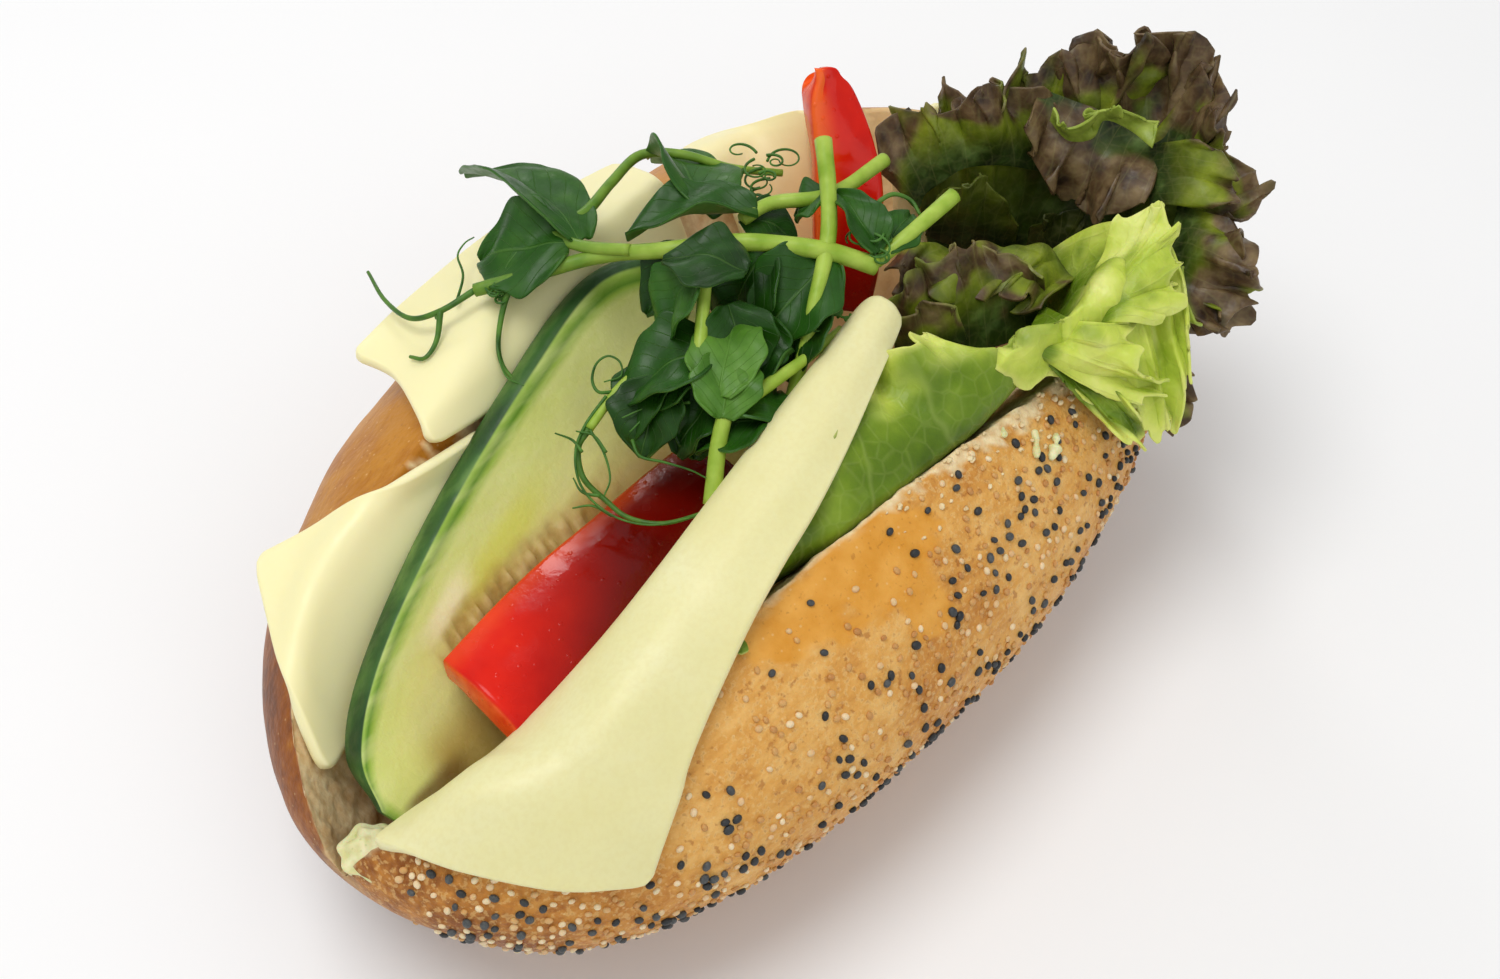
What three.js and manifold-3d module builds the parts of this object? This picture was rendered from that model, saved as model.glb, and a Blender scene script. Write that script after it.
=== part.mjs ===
import * as THREE from 'three';
import { mergeVertices } from 'three/addons/utils/BufferGeometryUtils.js';
import Module from 'manifold-3d';

const wasm = await Module();
wasm.setup();

// All sizes are in millimetres. X runs along the roll, Y across it, Z up from the spot that it rests on.
const ROLL = {
  halfLength: 94.5, leftHalfWidth: 58, rightHalfWidth: 56.3, rightFlare: 0.055, halfHeight: 34, middle: 32,
  nearRightFullness: 0.08, nearLeftFullness: 0.02, farFullness: 0.04, detail: 8,
};

// The crust's slow unevenness, as shares of the roll's size, and how fast it changes along, across and up
const SWELL = { depth: 0.006, along: 5, across: 4, shift: 1 };
const RIPPLE = { depth: 0.004, along: 9, up: 6 };

// The roll is cut open from above, right through both ends, deepest at half its length.
// Its left rim bends inwards most at neckAt
const SLIT = {
  floor: 12, endRise: 22, endPower: 4, floorHalfWidth: 5, floorShare: 0.4, reach: 96, widest: 0.995,
  rightRim: 36, rightSkew: 0.17, rightPower: 4,
  leftRim: 33, leftPowerNear: 6, leftPowerFar: 3.5, neckAt: -50, neckSpread: 20, neckDepth: 3.5,
  leastDepth: 1, stations: 20, overrun: 6, wallOverrun: 1.5, top: 90,
};

// Air between two pieces that lie on each other
const GAP = 0.35;

const SEED = { radius: 0.85, flatness: 0.7, sink: 0.15, count: 60, spacing: 6.4, draws: 4000, first: 7 };

// Where seeds lie: from one width on the right side to another, over a lowest height, clear of the rim
const SEEDED = { from: 6, full: 22, lowest: 4, rimClear: 2, atMiddle: 1.05, thinning: 0.5, fewest: 0.3 };
const BARE_SPOT = { x: -22, y: -38, spread: 250, share: 0.9 };

const CHEESE = { thickness: 2.0, along: 8, across: 8, lift: 1.6, slopeRun: 1, steepest: 2 };
const CUCUMBER = {
  thickness: 6.5, bulge: 1.2, farBulge: 3.2, bulgePower: 1.5,
  along: 14, arc: 3, endShare: 0.35, taperLength: 0.16,
};
const PEPPER = { thickness: 5.5, along: 10, across: 4 };
const LEAF = { thickness: 1.0, across: 7 };
const STEM = { radius: 1.5, halfSides: 3, stepLength: 8 };
const THIN_STEM = { radius: 1.1, halfSides: 3, stepLength: 8 };
const TENDRIL = { radius: 0.7, halfSides: 2, stepLength: 6 };
const SHOOT_LEAF = { thickness: 0.9, along: 4, across: 2, fold: 0.35, arch: 0.08, overlap: 0.06 };

// A shoot leaf's half width follows half a sine wave, widest nearer the stalk
const LEAF_OUTLINE = { start: 0.04, span: 0.93, power: 0.85 };

// A lettuce leaf's margin: a second, faster wave over the first, and teeth
const FRILL = { second: 2.3, secondShare: 0.4, secondShift: 1, toothRate: 2.1, toothShift: 2 };

// A lump of spread: its middle, half sizes and unevenness, which changes faster up than along and across
const SPREAD = {
  middle: [-90.5, -1.5, 36.2], halfSize: [4.6, 5, 2.6], detail: 2,
  lumps: 0.12, along: 7, across: 6, shift: 2, bumps: 0.08, up: 9,
};

// How far apart, as a share of a surface or edge, two points lie that give its direction
const STEP = 0.02;

const COLOURS = {
  crust: { color: 0xc98a45, roughness: 0.62 },
  cheese: { color: 0xece6ae, roughness: 0.42 },
  cucumber: { color: 0xc3c878, roughness: 0.35 },
  pepper: { color: 0xc81f12, roughness: 0.2 },
  greenLeaf: { color: 0x93ad3a, roughness: 0.45 },
  redLeaf: { color: 0x4b3526, roughness: 0.5 },
  shoot: { color: 0x2f6a26, roughness: 0.45 },
  spread: { color: 0xdfe0a8, roughness: 0.5 },
};

const group = new THREE.Group();

function vector(point) {
  return new THREE.Vector3(point[0], point[1], point[2]);
}

function geometryOf(points, faces) {
  const geometry = new THREE.BufferGeometry();
  const numbers = points.flatMap((p) => [p.x, p.y, p.z]);
  geometry.setAttribute('position', new THREE.Float32BufferAttribute(numbers, 3));
  geometry.setIndex(faces.flat());
  return geometry;
}

function solidOf(geometry) {
  const bare = geometry.clone();
  bare.deleteAttribute('normal');
  bare.deleteAttribute('uv');
  const merged = mergeVertices(bare, 1e-4);
  return new wasm.Manifold(new wasm.Mesh({
    numProp: 3,
    vertProperties: new Float32Array(merged.attributes.position.array),
    triVerts: new Uint32Array(merged.index.array),
  }));
}

// The largest body of a solid: a cut may leave loose scraps, which are dropped
function largest(solid) {
  return solid.decompose().reduce((best, body) => (body.volume() > best.volume() ? body : best));
}

function addPiece(name, solid, look) {
  const mesh = largest(solid).getMesh();
  const geometry = new THREE.BufferGeometry();
  geometry.setAttribute('position', new THREE.BufferAttribute(new Float32Array(mesh.vertProperties), 3));
  geometry.setIndex(new THREE.BufferAttribute(new Uint32Array(mesh.triVerts), 1));
  geometry.computeVertexNormals();
  const material = new THREE.MeshStandardMaterial({ ...look, metalness: 0 });
  const piece = new THREE.Mesh(geometry, material);
  piece.name = name;
  group.add(piece);
}

// Repeatable draws between 0 and 1
function randomDraws(start) {
  let state = start;
  return () => {
    state = (state * 1664525 + 1013904223) % 4294967296;
    return state / 4294967296;
  };
}

// A smooth line through points, read at t from 0 to 1
function smooth(points, t) {
  const last = points.length - 1;
  const place = Math.min(t * last, last - 1e-9);
  const i = Math.floor(place);
  const u = place - i;
  const before = i > 0 ? points[i - 1] : points[0].clone().multiplyScalar(2).sub(points[1]);
  const after = i + 2 <= last ? points[i + 2] : points[last].clone().multiplyScalar(2).sub(points[last - 1]);
  const bend = (a, b, c, d) => 0.5 * (2 * b + (c - a) * u + (2 * a - 5 * b + 4 * c - d) * u * u
    + (3 * b - a - 3 * c + d) * u * u * u);
  return new THREE.Vector3(
    bend(before.x, points[i].x, points[i + 1].x, after.x),
    bend(before.y, points[i].y, points[i + 1].y, after.y),
    bend(before.z, points[i].z, points[i + 1].z, after.z),
  );
}

// A closed shell between two grids of points that face each other
function shell(front, back) {
  const rows = front.length;
  const columns = front[0].length;
  const points = [...front.flat(), ...back.flat()];
  const offset = rows * columns;
  const faces = [];
  for (let i = 0; i < rows - 1; i++) {
    for (let j = 0; j < columns - 1; j++) {
      const a = i * columns + j;
      const b = a + 1;
      const c = a + columns;
      const d = c + 1;
      faces.push([a, b, c], [b, d, c]);
      faces.push([a + offset, c + offset, b + offset], [b + offset, c + offset, d + offset]);
    }
  }
  const rim = [];
  for (let j = 0; j < columns; j++) rim.push(j);
  for (let i = 1; i < rows; i++) rim.push(i * columns + columns - 1);
  for (let j = columns - 2; j >= 0; j--) rim.push((rows - 1) * columns + j);
  for (let i = rows - 2; i > 0; i--) rim.push(i * columns);
  rim.forEach((a, k) => {
    const b = rim[(k + 1) % rim.length];
    faces.push([a, a + offset, b], [b, a + offset, b + offset]);
  });
  return geometryOf(points, faces);
}

// A thin sheet: place(s, t) gives its middle, s across and t along, and grow makes it larger all round
function sheet(place, { along, across, thickness }, grow = 0) {
  const grid = [];
  for (let i = 0; i <= along; i++) {
    const row = [];
    for (let j = 0; j <= across; j++) row.push(place(j / across, i / along));
    grid.push(row);
  }
  const at = (i, j) => grid[THREE.MathUtils.clamp(i, 0, along)][THREE.MathUtils.clamp(j, 0, across)];
  const front = [];
  const back = [];
  for (let i = 0; i <= along; i++) {
    front.push([]);
    back.push([]);
    for (let j = 0; j <= across; j++) {
      const lengthways = at(i + 1, j).clone().sub(at(i - 1, j)).normalize();
      const crossways = at(i, j + 1).clone().sub(at(i, j - 1)).normalize();
      const normal = crossways.clone().cross(lengthways).normalize();
      const point = grid[i][j].clone();
      if (i === 0 || i === along) point.addScaledVector(lengthways, i === 0 ? -grow : grow);
      if (j === 0 || j === across) point.addScaledVector(crossways, j === 0 ? -grow : grow);
      front[i].push(point.clone().addScaledVector(normal, thickness / 2 + grow));
      back[i].push(point.clone().addScaledVector(normal, -thickness / 2 - grow));
    }
  }
  return solidOf(shell(front, back));
}

// A surface through rows of points: t runs from row to row, s along each row
function patch(rows) {
  const lines = rows.map((row) => row.map(vector));
  return (s, t) => smooth(lines.map((line) => smooth(line, s)), t);
}

// A solid with the same closed section at each station, joined from end to end
function loft(sections) {
  const sides = sections[0].length;
  const points = sections.flat();
  const faces = [];
  for (let i = 0; i < sections.length - 1; i++) {
    for (let j = 0; j < sides; j++) {
      const a = i * sides + j;
      const b = i * sides + ((j + 1) % sides);
      faces.push([a, b, a + sides], [b, b + sides, a + sides]);
    }
  }
  const start = points.length;
  [sections[0], sections[sections.length - 1]].forEach((section, end) => {
    const centre = section.reduce((sum, p) => sum.add(p), new THREE.Vector3()).divideScalar(sides);
    points.push(centre);
    const base = end * (sections.length - 1) * sides;
    for (let j = 0; j < sides; j++) {
      const a = base + j;
      const b = base + ((j + 1) % sides);
      faces.push(end ? [a, b, start + 1] : [b, a, start]);
    }
  });
  return solidOf(geometryOf(points, faces));
}

// Seen from above the roll is an ellipse that is filled out beside its ends, most at the near end's right.
// Both numbers are shares of its half length and half width
function fullness(along, across) {
  const reach = Math.max(Math.hypot(along, across), 1e-6);
  const near = across < 0 ? ROLL.nearRightFullness : ROLL.nearLeftFullness;
  const besideEnd = 4 * (along * across) ** 2 * Math.abs(along) / reach ** 5;
  return 1 + (along < 0 ? near : ROLL.farFullness) * besideEnd;
}

function halfWidth(along, side) {
  return side < 0 ? ROLL.rightHalfWidth * (1 + ROLL.rightFlare * along) : ROLL.leftHalfWidth;
}

function crustHeight(x, y) {
  const along = x / ROLL.halfLength;
  const across = y / halfWidth(along, y);
  const reach = Math.hypot(along, across) / fullness(along, across);
  return ROLL.middle + ROLL.halfHeight * Math.sqrt(Math.max(0, 1 - reach * reach));
}

// The slightly uneven crust in the direction p, a point on the unit sphere
function crustPoint(p, grow = 0) {
  const uneven = 1 + SWELL.depth * Math.sin(SWELL.along * p.x + SWELL.shift) * Math.cos(SWELL.across * p.y)
    + RIPPLE.depth * Math.sin(RIPPLE.along * p.x - RIPPLE.up * p.z);
  const full = fullness(p.x, p.y);
  return new THREE.Vector3(
    p.x * (ROLL.halfLength * full * uneven + grow),
    p.y * (halfWidth(p.x, p.y) * full * uneven + grow),
    ROLL.middle + p.z * (ROLL.halfHeight * uneven + grow),
  );
}

// The baked roll, flat where it rests
function loaf(grow = 0) {
  const geometry = new THREE.IcosahedronGeometry(1, ROLL.detail);
  const position = geometry.attributes.position;
  for (let i = 0; i < position.count; i++) {
    const direction = new THREE.Vector3().fromBufferAttribute(position, i).normalize();
    const point = crustPoint(direction, grow);
    position.setXYZ(i, point.x, point.y, Math.max(point.z, 0));
  }
  return solidOf(geometry);
}

// The slit's two rims and its floor at a station along the roll, all moved inwards by shrink
function slitAt(x, shrink = 0) {
  const u = Math.min(Math.abs(x) / SLIT.reach, SLIT.widest);
  const leftPower = x < 0 ? SLIT.leftPowerNear : SLIT.leftPowerFar;
  const rightY = shrink - SLIT.rightRim * (1 - u ** SLIT.rightPower) - SLIT.rightSkew * x * (1 - u * u);
  const neck = SLIT.neckDepth * Math.exp(-(((x - SLIT.neckAt) / SLIT.neckSpread) ** 2));
  const leftY = Math.max(SLIT.leftRim * (1 - u ** leftPower) - neck, 0) - shrink;
  const floorZ = SLIT.floor + SLIT.endRise * u ** SLIT.endPower + shrink;
  const floorY = Math.min(SLIT.floorHalfWidth - shrink, SLIT.floorShare * leftY, -SLIT.floorShare * rightY);
  return {
    rightFloor: new THREE.Vector3(x, -floorY, floorZ),
    leftFloor: new THREE.Vector3(x, floorY, floorZ),
    rightRim: new THREE.Vector3(x, rightY, Math.max(crustHeight(x, rightY), floorZ + SLIT.leastDepth)),
    leftRim: new THREE.Vector3(x, leftY, Math.max(crustHeight(x, leftY), floorZ + SLIT.leastDepth)),
  };
}

function slit(shrink = 0) {
  const end = ROLL.halfLength + SLIT.overrun;
  const sections = [];
  for (let i = 0; i <= SLIT.stations; i++) {
    const x = THREE.MathUtils.lerp(-end, end, i / SLIT.stations);
    const cut = slitAt(x, shrink);
    const left = cut.leftFloor.clone().lerp(cut.leftRim, SLIT.wallOverrun);
    const right = cut.rightFloor.clone().lerp(cut.rightRim, SLIT.wallOverrun);
    sections.push([
      cut.rightFloor, cut.leftFloor,
      left, left.clone().setZ(SLIT.top),
      right.clone().setZ(SLIT.top), right,
    ]);
  }
  return loft(sections);
}

// Cheese slices, each laid through three to five lines of points from its outer edge to its inner one
const CHEESE_SLICES = {
  cheese_front: [
    [[-73, -38.6, 39.2], [-81.7, -30.3, 42.5], [-88.3, -17.4, 43.9], [-91.7, -4, 41.5]],
    [[-64, -37, 46], [-72, -27, 50], [-78, -14, 50], [-82, -5, 39]],
    [[-57, -35, 52.5], [-63, -24, 56], [-67, -13, 48], [-69, -7, 36]],
    [[-38, -31.5, 60], [-43, -22, 61], [-47, -15.5, 56], [-50, -12.5, 40]],
    [[-15, -28, 64], [-17, -22, 66], [-20, -15.5, 63], [-24, -12, 46]],
    [[14, -20, 67.5], [14, -17.5, 70], [13, -14.5, 68.5], [8, -10, 56]],
  ],
  cheese_left_near: [
    [[-70, 39, 50], [-77, 28.5, 47], [-84, 18, 42], [-84, 9, 34]],
    [[-60, 32.5, 53.5], [-66, 28, 50], [-71, 22.5, 44.5], [-70, 16, 34]],
    [[-48, 27, 56], [-51, 26.5, 52], [-53, 23.5, 46.5], [-50, 19, 36]],
    [[-29, 28, 52], [-31, 26.5, 48], [-33, 24, 44], [-35, 21, 39]],
  ],
  cheese_left_middle: [
    [[-36, 50.5, 57.5], [-36, 42, 59], [-40, 33, 60.5], [-38, 28, 52]],
    [[-20, 53, 55.5], [-20, 43, 59], [-20, 34, 61], [-20, 27, 50]],
    [[2, 52, 56], [1, 42, 60], [0, 34, 61], [0, 27, 50]],
    [[25, 46, 56.5], [24, 40, 59], [22, 33, 60], [20, 25, 48]],
  ],
  cheese_left_far: [
    [[34, 40, 55.5], [33, 34, 58], [31, 26, 54], [28, 17, 42]],
    [[43, 36, 56], [42, 30, 57.5], [39, 24, 54], [34, 15, 42]],
    [[50.5, 23, 64.5], [48, 21, 61], [44, 17, 54], [39, 11, 42]],
  ],
  cheese_far: [
    [[57, 10, 57], [55, 8, 52], [52, 5, 46], [49, 1, 40]],
    [[66, 7, 62.5], [63, 5, 56], [59, 2, 49], [55, -2, 41]],
    [[68, 1.5, 57], [65, 0, 52], [62, -2, 46], [59, -6, 41]],
  ],
};

// Height of the cut bread: the crust, or the slit's wall or floor where that is lower
function breadTop(x, y) {
  const cut = slitAt(x);
  const [floor, rim] = y < 0 ? [cut.rightFloor, cut.rightRim] : [cut.leftFloor, cut.leftRim];
  const wall = THREE.MathUtils.mapLinear(y, floor.y, rim.y, floor.z, rim.z);
  return Math.min(crustHeight(x, y), Math.max(wall, floor.z));
}

// Least height of a slice's middle, more over steep bread
function restingHeight(x, y) {
  const height = breadTop(x, y);
  const run = CHEESE.slopeRun;
  const slope = Math.hypot(breadTop(x + run, y) - height, breadTop(x, y + run) - height) / run;
  return height + CHEESE.lift * Math.hypot(1, Math.min(slope, CHEESE.steepest));
}

function draped(rows) {
  const place = patch(rows);
  return (s, t) => {
    const point = place(s, t);
    point.z = Math.max(point.z, restingHeight(point.x, point.y));
    return point;
  };
}

function cheeseSlices(grow = 0) {
  return Object.entries(CHEESE_SLICES).map(([name, rows]) => (
    { name, look: COLOURS.cheese, solid: sheet(draped(rows), CHEESE, grow) }));
}

// A long slab of cucumber: its top edge with skin, rounder towards the far end, and its lower edge
const CUCUMBER_EDGES = {
  top: [
    [-86.3, -0.4, 39.6], [-82.3, 6.3, 44.5], [-69.3, 13.5, 48.7], [-47.2, 19.7, 55],
    [-24, 23.9, 61], [-4, 26.6, 64], [8, 21, 64],
  ],
  low: [
    [-85.5, -3, 38], [-81, -4.5, 36], [-69, -4.5, 31], [-47, -3.5, 28],
    [-24, -3, 30], [-4, -2, 34], [8, 2, 40],
  ],
};

function cucumberSlice(grow = 0) {
  const top = CUCUMBER_EDGES.top.map(vector);
  const low = CUCUMBER_EDGES.low.map(vector);
  const sections = [];
  for (let i = 0; i <= CUCUMBER.along; i++) {
    const t = i / CUCUMBER.along;
    const lower = smooth(low, t);
    const skin = smooth(top, t);
    const ahead = smooth(top, Math.min(1, t + STEP)).sub(smooth(top, Math.max(0, t - STEP))).normalize();
    const down = lower.clone().sub(skin).normalize();
    const bulge = CUCUMBER.bulge + CUCUMBER.farBulge * t ** CUCUMBER.bulgePower;
    const upper = skin.addScaledVector(down, bulge);
    const inward = ahead.clone().cross(down).normalize();
    const taper = Math.min(1, THREE.MathUtils.lerp(CUCUMBER.endShare, 1, t / CUCUMBER.taperLength));
    const section = [];
    const end = (middle, sign, reach) => {
      for (let k = 0; k <= CUCUMBER.arc; k++) {
        const angle = (Math.PI * k) / CUCUMBER.arc;
        const depth = (CUCUMBER.thickness * taper * (1 - sign * Math.cos(angle))) / 2;
        section.push(middle.clone()
          .addScaledVector(down, -sign * (reach * Math.sin(angle) + grow))
          .addScaledVector(inward, depth + grow * (2 * depth / (CUCUMBER.thickness * taper) - 1)));
      }
    };
    end(upper, 1, bulge);
    end(lower, -1, CUCUMBER.bulge);
    if (grow && (i === 0 || i === CUCUMBER.along)) {
      section.forEach((p) => p.addScaledVector(ahead, i ? grow : -grow));
    }
    sections.push(section.reverse());
  }
  return [{ name: 'cucumber', look: COLOURS.cucumber, solid: loft(sections) }];
}

// Pepper strips: rows of points across the strip's outer side
const PEPPER_STRIPS = {
  pepper_front: [
    [[-66, 4.5, 46.5], [-67.5, -3.5, 47.5], [-68, -10.5, 44.5]],
    [[-48, 5, 46], [-49, -3, 47], [-50, -11, 44]],
    [[-30, 4, 45.5], [-30, -3, 46], [-30, -10, 43]],
    [[-10, 3, 44], [-10, -3, 44.5], [-10, -9, 42]],
  ],
  pepper_far: [
    [[45.5, 18.5, 77], [46.5, 18, 77.6], [47.3, 17, 76.8]],
    [[41.6, 17.8, 74], [45, 16, 74.5], [48.1, 13.4, 73]],
    [[37.7, 13.5, 66], [42, 10.5, 67.5], [45, 5.7, 65]],
    [[34.5, 11, 59], [39, 6.5, 60], [41.8, 1.5, 59]],
    [[31, 8, 49], [35, 3.8, 50], [38, -0.8, 49.5]],
    [[29, 6.5, 42], [32, 2.5, 42.5], [34.5, -1.5, 42]],
  ],
};

function pepperStrips(grow = 0) {
  return Object.entries(PEPPER_STRIPS).map(([name, rows]) => (
    { name, look: COLOURS.pepper, solid: sheet(patch(rows), PEPPER, grow) }));
}

// Lettuce leaves: rows from the stalk side down in the slit to the frilled margin
const LETTUCE_LEAVES = {
  lettuce_green: {
    look: COLOURS.greenLeaf, waves: 4.5, ruffle: 2.4, teeth: 1.8, along: 21,
    rows: [
      [[-37, -23, 48], [-34, -26.5, 56], [-32, -25, 60], [-30, -23, 62]],
      [[-14, -27, 47], [-12, -33, 57.5], [-8, -28, 63], [-4, -22.5, 65]],
      [[14, -29, 46], [15, -37, 57.5], [14, -32, 64.5], [12, -24, 67]],
      [[32, -32, 47], [35, -37, 59.5], [32, -40, 66.5], [28, -46, 55]],
      [[44, -28, 46], [48, -35, 61], [46, -43, 66.5], [36, -60, 47]],
      [[52, -20, 48], [56, -31, 62], [56, -42, 66], [47, -55, 58]],
    ],
  },
  lettuce_inner: {
    look: COLOURS.redLeaf, waves: 3, ruffle: 2.4, teeth: 1.8, along: 17,
    rows: [
      [[46, -3, 42], [40, -6, 55], [34, -8, 60], [29, -9, 60]],
      [[50, -12, 40], [43, -13, 56], [34, -14, 62], [26, -14, 58]],
      [[52, -20, 40], [46, -20, 57], [38, -20.5, 63], [29, -20.5, 60]],
      [[54, -26, 44], [50, -26, 58], [43, -27, 62], [36, -27, 60]],
      [[54, -32, 46], [50, -32, 55], [43, -32, 58], [36, -31, 57]],
    ],
  },
  lettuce_red: {
    look: COLOURS.redLeaf, waves: 4.5, ruffle: 4.5, teeth: 2.2, along: 22,
    rows: [
      [[50, -6, 36], [52, -1, 50], [53, 3, 60], [54, 6, 66]],
      [[58, -12, 30], [63, -9, 50], [67, -6, 62], [70, -5, 71]],
      [[61, -13, 27], [73, -15, 50], [80, -18, 65], [85, -21, 77]],
      [[58, -16, 30], [73, -28, 52], [81, -35, 65], [83, -38, 72]],
      [[52, -23, 38], [64, -40, 54], [67, -48, 61], [68, -52, 64]],
      [[44, -30, 50], [54, -44, 56], [55, -53, 56], [54, -58, 54]],
    ],
  },
};

function ruffled({ rows, waves, ruffle, teeth }) {
  const base = patch(rows);
  return (s, t) => {
    const point = base(s, t);
    const lengthways = base(s, Math.min(1, t + STEP)).sub(base(s, Math.max(0, t - STEP))).normalize();
    const crossways = base(Math.min(1, s + STEP), t).sub(base(Math.max(0, s - STEP), t)).normalize();
    const normal = crossways.clone().cross(lengthways).normalize();
    const free = s * s;
    const turn = 2 * Math.PI * waves * t;
    const wave = Math.sin(turn) + FRILL.secondShare * Math.sin(FRILL.second * turn + FRILL.secondShift);
    point.addScaledVector(normal, ruffle * free * wave);
    const tooth = Math.sin(FRILL.toothRate * turn + FRILL.toothShift);
    return point.addScaledVector(crossways, teeth * free * free * tooth);
  };
}

function lettuceLeaves(grow = 0) {
  return Object.entries(LETTUCE_LEAVES).map(([name, leaf]) => (
    { name, look: leaf.look, solid: sheet(ruffled(leaf), { ...LEAF, along: leaf.along }, grow) }));
}

// Pea shoots: thick and thin stems through points, then leaves from stalk to tip with their width and roll
const STEMS = [
  [
    [-18.9, 38.1, 66], [-14.1, 32.7, 68], [-5.5, 23.3, 71.5], [-0.9, 14, 74.5],
    [6.1, 4.9, 76], [12.4, -5.6, 75.5], [17.7, -12.5, 72],
  ],
  [[11.5, 8.6, 74.5], [17, 6.8, 75], [23.1, -0.1, 76], [36.9, -1, 74]],
  [[27.1, 4.4, 82], [20.9, -1, 79], [14.6, -5.5, 76], [5.8, -9.5, 72], [0.8, -11.3, 67], [-7.3, -13.6, 60]],
  [[34.5, -15.6, 76], [24.7, -14.1, 74.5], [18.4, -12, 72]],
  [[7.5, -13.3, 67], [-0.8, -12.5, 67], [-16.3, -9, 66], [-20, -10.5, 63], [-25.9, -13.8, 58]],
];

const THIN_STEMS = [
  [[-3.5, 39, 70], [-6.2, 31.7, 71.5], [-6, 25.6, 72.5], [-3.7, 18.7, 74]],
  [
    [1.3, 31.9, 71], [8.8, 32.7, 71.5], [16.3, 32.7, 72],
    [20.5, 27.1, 72], [24.4, 20.3, 70], [30.2, 14.3, 68],
  ],
  [[-2.6, 4.9, 75], [-12.3, -1.2, 69]],
  [[-1.5, 6.5, 75], [-9.6, 6.8, 66], [-18.9, 9.3, 62], [-26.3, 9.3, 59.5]],
];

const TENDRILS = [
  [[-18.9, 38.1, 66], [-24.5, 40.5, 64.5], [-26.9, 45.2, 62], [-25.1, 52.8, 60], [-21.4, 60.4, 59]],
  [[-26.3, 9.3, 59.5], [-32.1, 5.9, 56], [-32.5, -3.1, 53.5], [-30.4, -8.3, 54], [-26.5, -13.7, 57]],
  [[-24.5, 40.5, 64.5], [-27.9, 38.6, 62], [-31.8, 41, 60]],
  [[-14.1, 32.7, 68], [-22.5, 30.6, 62], [-24.9, 23.3, 58]],
  [[18.4, -12, 72], [23.9, -7.2, 75], [27.6, -8.1, 77], [28.5, -13.3, 75]],
];

const SHOOT_LEAVES = [
  { stalk: [-5, 29.2, 72], tip: [2.7, 60.1, 68], width: 15, roll: 0.5 },
  { stalk: [-7.1, 29.5, 71.5], tip: [-14.4, 42.6, 66], width: 15, roll: -0.4 },
  { stalk: [10.8, 15.3, 73], tip: [22.7, 35, 69], width: 13, roll: 0.5 },
  { stalk: [12.8, 8, 75.5], tip: [-0.3, 24.2, 73], width: 12, roll: 0.3 },
  { stalk: [0.6, 0.4, 77], tip: [-4, 12.9, 77], width: 12, roll: 0 },
  { stalk: [-2.2, 6.5, 75], tip: [-10.5, 8, 66], width: 13, roll: 0.4 },
  { stalk: [-14.6, -7, 68], tip: [0.1, 0.5, 71], width: 12, roll: -0.1 },
  { stalk: [-16.8, -9, 66.5], tip: [-6.9, -3.5, 70], width: 11, roll: 0.1 },
  { stalk: [12.4, -7.2, 73.5], tip: [-2.8, -4, 66], width: 15, roll: -0.2 },
  { stalk: [-14.6, -9.5, 65.5], tip: [-4, -10.8, 63], width: 12, roll: 0.2 },
  { stalk: [-10.7, -13.2, 63], tip: [-20.7, -5.3, 60], width: 13, roll: 0.2 },
  { stalk: [-8.6, -1.4, 68], tip: [-21, 9, 62], width: 15, roll: 0.1 },
  { stalk: [-15.3, 3.5, 64], tip: [-25.4, 0.7, 57], width: 12, roll: 0.2 },
  { stalk: [21.4, -0.4, 77], tip: [17.6, 3.4, 73], width: 9, roll: 0.2 },
  { stalk: [18.6, -11.4, 74], tip: [23.5, -0.3, 78], width: 8, roll: 0.2 },
  { stalk: [20.5, -12.2, 73], tip: [30.2, -11.1, 74], width: 8, roll: 0.2 },
  { stalk: [12.9, 9.5, 73], tip: [17.5, 1.5, 70], width: 10, roll: 0 },
  { stalk: [7.6, -9, 70], tip: [-3.5, -9.6, 62], width: 12, roll: 0.3 },
  { stalk: [7.9, 1, 75], tip: [-1.5, 3.6, 62], width: 13, roll: -0.2 },
];

function tube(points, { radius, halfSides, stepLength }) {
  const outline = new THREE.Shape();
  outline.absarc(0, 0, radius, 0, 2 * Math.PI);
  const path = new THREE.CatmullRomCurve3(points.map(vector));
  const steps = Math.ceil(path.getLength() / stepLength);
  const options = { extrudePath: path, steps, curveSegments: halfSides, bevelEnabled: false };
  return solidOf(new THREE.ExtrudeGeometry(outline, options));
}

function foldedLeaf({ stalk, tip, width, roll }) {
  const start = vector(stalk);
  const reach = vector(tip).sub(start);
  const length = reach.length();
  const ahead = reach.clone().normalize();
  const side = ahead.clone().cross(new THREE.Vector3(0, 0, 1)).normalize().applyAxisAngle(ahead, roll);
  const up = side.clone().cross(ahead);
  const place = (s, t) => {
    const across = 2 * s - 1;
    const along = (LEAF_OUTLINE.start + LEAF_OUTLINE.span * t) ** LEAF_OUTLINE.power;
    const half = (width / 2) * Math.sin(Math.PI * along);
    const rise = SHOOT_LEAF.fold * Math.abs(across) * half + SHOOT_LEAF.arch * length * Math.sin(Math.PI * t);
    return start.clone()
      .addScaledVector(ahead, (t - SHOOT_LEAF.overlap) * length)
      .addScaledVector(side, across * half)
      .addScaledVector(up, rise);
  };
  return sheet(place, SHOOT_LEAF);
}

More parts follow.
